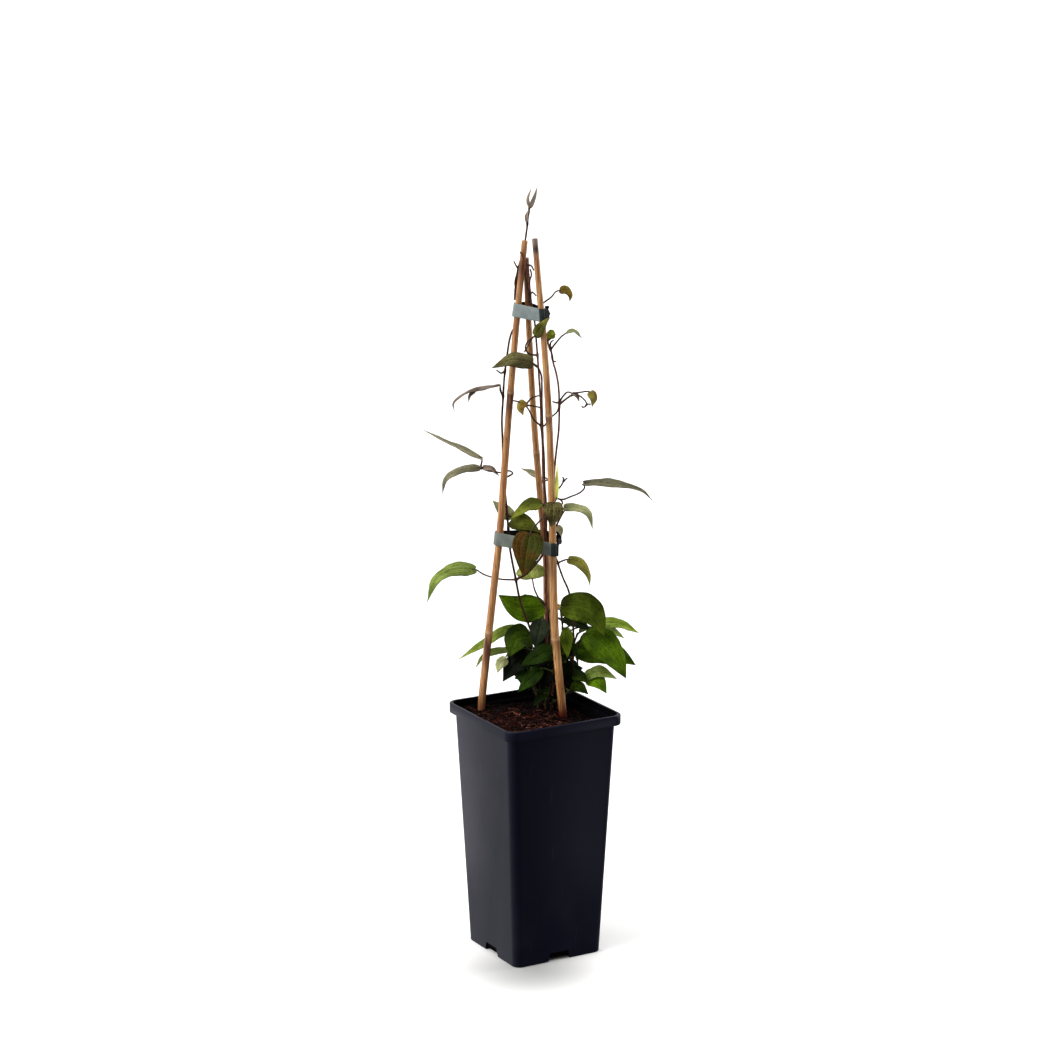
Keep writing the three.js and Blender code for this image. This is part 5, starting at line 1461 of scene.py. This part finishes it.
def leafy_stem(plant, belly):
    """The strands of a plant's stems, and one mesh of its leaves."""
    heights = (ROOT_END, (ROOT_END + SOIL_CLEAR) / 2, SOIL_CLEAR)
    root = [(*plant["root"], up) for up in heights]
    paths = [[*root, *plant["stems"][0]], *plant["stems"][1:]]
    paths = [[show(point) for point in path] for path in paths]
    carriers = [Line(path).steps(STEM_STEP) for path in paths]
    thin, knots = [], []
    for first, *rest in plant.get("twigs", []):
        knots.append(nearest_on(carriers, show(first)))
        thin.append(([knots[-1], *[show(point) for point in rest]], TWIG))
        carriers.append(Line(thin[-1][0]).steps(STEM_STEP))
    leaves = bmesh.new()
    for one in plant["leaves"]:
        spine = add_leaf(leaves, one, belly)
        target = show((one["stalk"] or one["rib"])[0])
        knots.append(nearest_on(carriers, target))
        via = [show(point) for point in one["stalk"]]
        via = [point for point in via if (point - knots[-1]).length > 2 * STALK[0]]
        thin.append(([knots[-1], *via, spine.at(0), spine.at(STALK_REACH)], STALK))
        carriers.append(spine.steps(STEM_STEP))
    thick = [strand(path, STEM, knots, seed) for seed, path in enumerate(paths)]
    return thick, [strand(path, size, (path[0],)) for path, size in thin], leaves


# %% Make the skins of stem and stalk
def bark_skin(name, dark, pale, rough):
    material, tree, shader, place = new_material(name, Roughness=rough, Specular_IOR_Level=0.12)
    along = add(tree, "Mapping", {"Scale": (1, 1, 0.12)}, Vector=place)
    ribs = add(tree, "TexNoise", grain(0.7), Vector=along)
    share = add(tree, "MapRange", {**SMOOTH, 1: 0.35, 2: 0.7}, n0=ribs)
    tone = add(tree, "Mix", {**COLOUR, "A": dark, "B": pale}, Factor=share)
    clouds = add(tree, "TexNoise", grain(12), Vector=place)
    share = add(tree, "MapRange", {**SMOOTH, 1: 0.5, 2: 0.75, 4: 0.6}, n0=clouds)
    tone = add(tree, "Mix", {**COLOUR, "B": dark}, Factor=share, A=tone)
    bump = add(tree, "Bump", {"Distance": 0.15 * MM, "Strength": 0.6}, Height=ribs)
    link(tree, shader, Base_Color=tone, Normal=bump)
    return material


old_wood = bark_skin("ribbed bark of a clematis stem", "#28140b", "#523621", 0.65)
red_wood = bark_skin("peeling red-brown bark of a clematis stem", "#3c1c14", "#865747", 0.65)
stalk_skin = bark_skin("skin of a leaf stalk", "#2e1d18", "#5c4a40", 0.65)
green_wood = bark_skin("skin of a young shoot", "#1c140a", "#3e321a", 0.6)
green_stalk = bark_skin("skin of a young leaf stalk", "#262d10", "#4e5a28", 0.6)

# %% [markdown]
# ## The shaded heart of the shoots
#
# Where the shoots crowd together their inner leaves get no light. They are small and painted nearly
# black as their shade, point back and to either side, and fill the space between the stems behind
# the leaves that show.

# %% Add the small inner leaves
INNER_LEAVES, INNER_STALK = 7, 4


def inner_leaves(plant):
    root, (first, *rest) = plant["root"], plant["stems"][0]
    stem = Line([(*root, SOIL_CLEAR + 4), first, *rest])
    found = []
    for _ in range(INNER_LEAVES):
        start = stem.at(random.uniform(0, 0.75))
        way = [random.uniform(*limits) for limits in ((-1, 1), (-1, -0.2), (-0.3, 0.8))]
        way = Vector(way).normalized()
        size = random.uniform(12, 21)
        rib = [start + way * (INNER_STALK + size * share) for share in (0, 0.5, 1)]
        rib[1].z += 2
        face = (random.uniform(-0.4, 0.4), 0.8, random.uniform(0.1, 0.7))
        # Painted shade: the inner leaves take the near-black deep and forest colours.
        found.append(leaf(random.uniform(7, 12), random.choice(("deep", "deep", "forest")), 1, face,
                          [tuple(point) for point in rib], [tuple(start)]))
    return found


# %% Grow every stem
RED_BARKED = ("vine_middle", "vine_right")
for slot, plants, belly, wood, stalk in (
    ("climber", CLIMBERS, 0.55, old_wood, stalk_skin),
    ("foliage", SHOOTS, 0.7, green_wood, green_stalk),
):
    for name, plant in plants.items():
        if slot == "foliage":
            plant = {**plant, "leaves": plant["leaves"] + inner_leaves(plant)}
        thick, thin, leaves = leafy_stem(plant, belly)
        bark_of = red_wood if name in RED_BARKED else wood
        finish_piece(name + "_stems", strands_mesh(thick, 3), [bark_of], name, slot, smooth=60)
        finish_piece(name + "_stalks", strands_mesh(thin, 2), [stalk], name, slot, smooth=60)
        blades = finish_piece(name + "_leaves", leaves, [leaf_top, leaf_under], name, slot, smooth=70)
        flesh = blades.modifiers.new("thickness", "SOLIDIFY")
        flesh.thickness = BLADE_THICKNESS * MM
        flesh.offset = 0
        flesh.use_even_offset = True
        flesh.material_offset = 1
        flesh.material_offset_rim = 0

# %% [markdown]
# ## Floor and light
#
# A pale floor runs far behind the pot, and the room round it is as pale, so that no horizon shows.
# The floor is white and glows a little with painted light, except under the pot and in a faint painted
# shadow before the pot's foot. The room glows most from high on the left. The main light is a large
# soft one, high on the left and a little in front. Two rim lights from the sides, a little behind,
# draw the pale edges of the canes. Two low strip lights, one beyond each side corner of the pot, lift
# its black faces a little toward their edges.

# %% Lay the floor
FLOOR_HALF, PAINTED_FOOT_SHADOW, PAINTED_SHADOW_REACH = 40000 * MM, (-3, 66, 0), 90 * MM
sheet = bmesh.new()
bmesh.ops.create_grid(sheet, x_segments=1, y_segments=1, size=FLOOR_HALF)
mesh = bpy.data.meshes.new("floor")
sheet.to_mesh(mesh)
sheet.free()
floor = bpy.data.objects.new("floor", mesh)
bpy.context.scene.collection.objects.link(floor)
paper, tree, shader, place = new_material(
    "white floor with a painted glow and a painted shadow", Roughness=0.9, Specular_IOR_Level=0.1,
    Emission_Color=(1, 1, 1, 1),
)
away = add(tree, "VectorMath", {"operation": "ABSOLUTE"}, n0=place)
away = add(tree, "SeparateXYZ", None, Vector=away)
away = add(tree, "Math", {"operation": "MAXIMUM"}, n0=away.outputs["X"], n1=away.outputs["Y"])
# Painted light: the floor glows by its own emission, from the edge of the pot outward.
lit = add(tree, "MapRange", {**SMOOTH, 1: 0.038, 2: 0.05, 3: 0, 4: 0.3}, n0=away)
# Painted shadow: a grey patch before the pot's foot, where the floor is darker and does not glow.
clear_of_painted_shadow = add(tree, "VectorMath", {"operation": "DISTANCE", 1: show(PAINTED_FOOT_SHADOW) * MM}, n0=place)
clear_of_painted_shadow = add(tree, "MapRange", {**SMOOTH, 1: 0.0, 2: PAINTED_SHADOW_REACH}, n0=clear_of_painted_shadow)
lit = add(tree, "Math", {"operation": "MULTIPLY"}, n0=lit, n1=clear_of_painted_shadow)
fleck = add(tree, "TexNoise", grain(40, 2), Vector=place)
tone = add(tree, "Mix", {**COLOUR, "A": "#e6e5e4", "B": "#e2e1e0"}, Factor=fleck)
tone = add(tree, "Mix", {**COLOUR, "A": "#acacaa"}, Factor=clear_of_painted_shadow, B=tone)
link(tree, shader, Emission_Strength=lit, Base_Color=tone)
mesh.materials.append(paper)
floor.visible_glossy = False
floor.visible_diffuse = False
print("floor:", round(2 * FLOOR_HALF), "m across")

# %% Light the room
BRIGHT_WAY = (-0.5, 0.5, 0.71)
world = bpy.data.worlds.new("room")
bpy.context.scene.world = world
world.use_nodes = True
tree = world.node_tree
tree.nodes.clear()
way = add(tree, "TexCoord").outputs["Generated"]
facing = add(tree, "VectorMath", {"operation": "DOT_PRODUCT", 1: BRIGHT_WAY}, n0=way)
level = add(tree, "MapRange", {**SMOOTH, 1: -0.8, 2: 0.9, 3: 0.2, 4: 1.35}, n0=facing)
glow = add(tree, "Background", None, Strength=level)
plain = add(tree, "Background", {"Color": "#ffffff", "Strength": 1.0})
seen = add(tree, "LightPath").outputs["Is Camera Ray"]
both = add(tree, "MixShader", None, n0=seen, n1=glow, n2=plain)
add(tree, "OutputWorld", None, Surface=both)
print("room lit from", BRIGHT_WAY)

# %% Hang the lamps
MID_HEIGHT = (0, 0, 350)
SUNS = (
    ("soft key", 30, 2.0, (-1000, 600, 1300), True),
    ("left rim", 40, 1.0, (-1300, -450, 700), False),
    ("right rim", 40, 2.6, (1300, -450, 700), True),
)
STRIPS = (
    ("strip behind the left corner", (0.03, 0.15), (1, 0.96, 1.02), 0.012, 26,
     (-238, -116, 62), (-24, 60, 128)),
    ("strip before the right corner", (0.05, 0.2), (1, 1, 1), 0.014, 70,
     (195, 93, 80), (40, -47, 105)),
)


def aimed(name, lamp, place, aim=MID_HEIGHT):
    """Hangs a lamp at a show place, aimed at a point that is given in X, Y and Z."""
    holder = bpy.data.objects.new(name, lamp)
    place, aim = show(place), Vector(aim)
    holder.location = place * MM
    holder.rotation_euler = (aim - place).to_track_quat("-Z", "Y").to_euler()
    bpy.context.scene.collection.objects.link(holder)
    return holder


for name, angle, energy, place, shines in SUNS:
    sun = bpy.data.lights.new(name, "SUN")
    sun.angle, sun.energy = math.radians(angle), energy
    aimed(name, sun, place).visible_glossy = shines
for name, size, colour, energy, spread, place, aim in STRIPS:
    strip = bpy.data.lights.new(name, "AREA")
    strip.shape, (strip.size, strip.size_y) = "RECTANGLE", size
    strip.color, strip.energy, strip.spread = colour, energy, math.radians(spread)
    aimed(name, strip, place, aim).visible_camera = False
bpy.context.scene.view_settings.view_transform = "Standard"
print("lamps:", len(SUNS) + len(STRIPS))
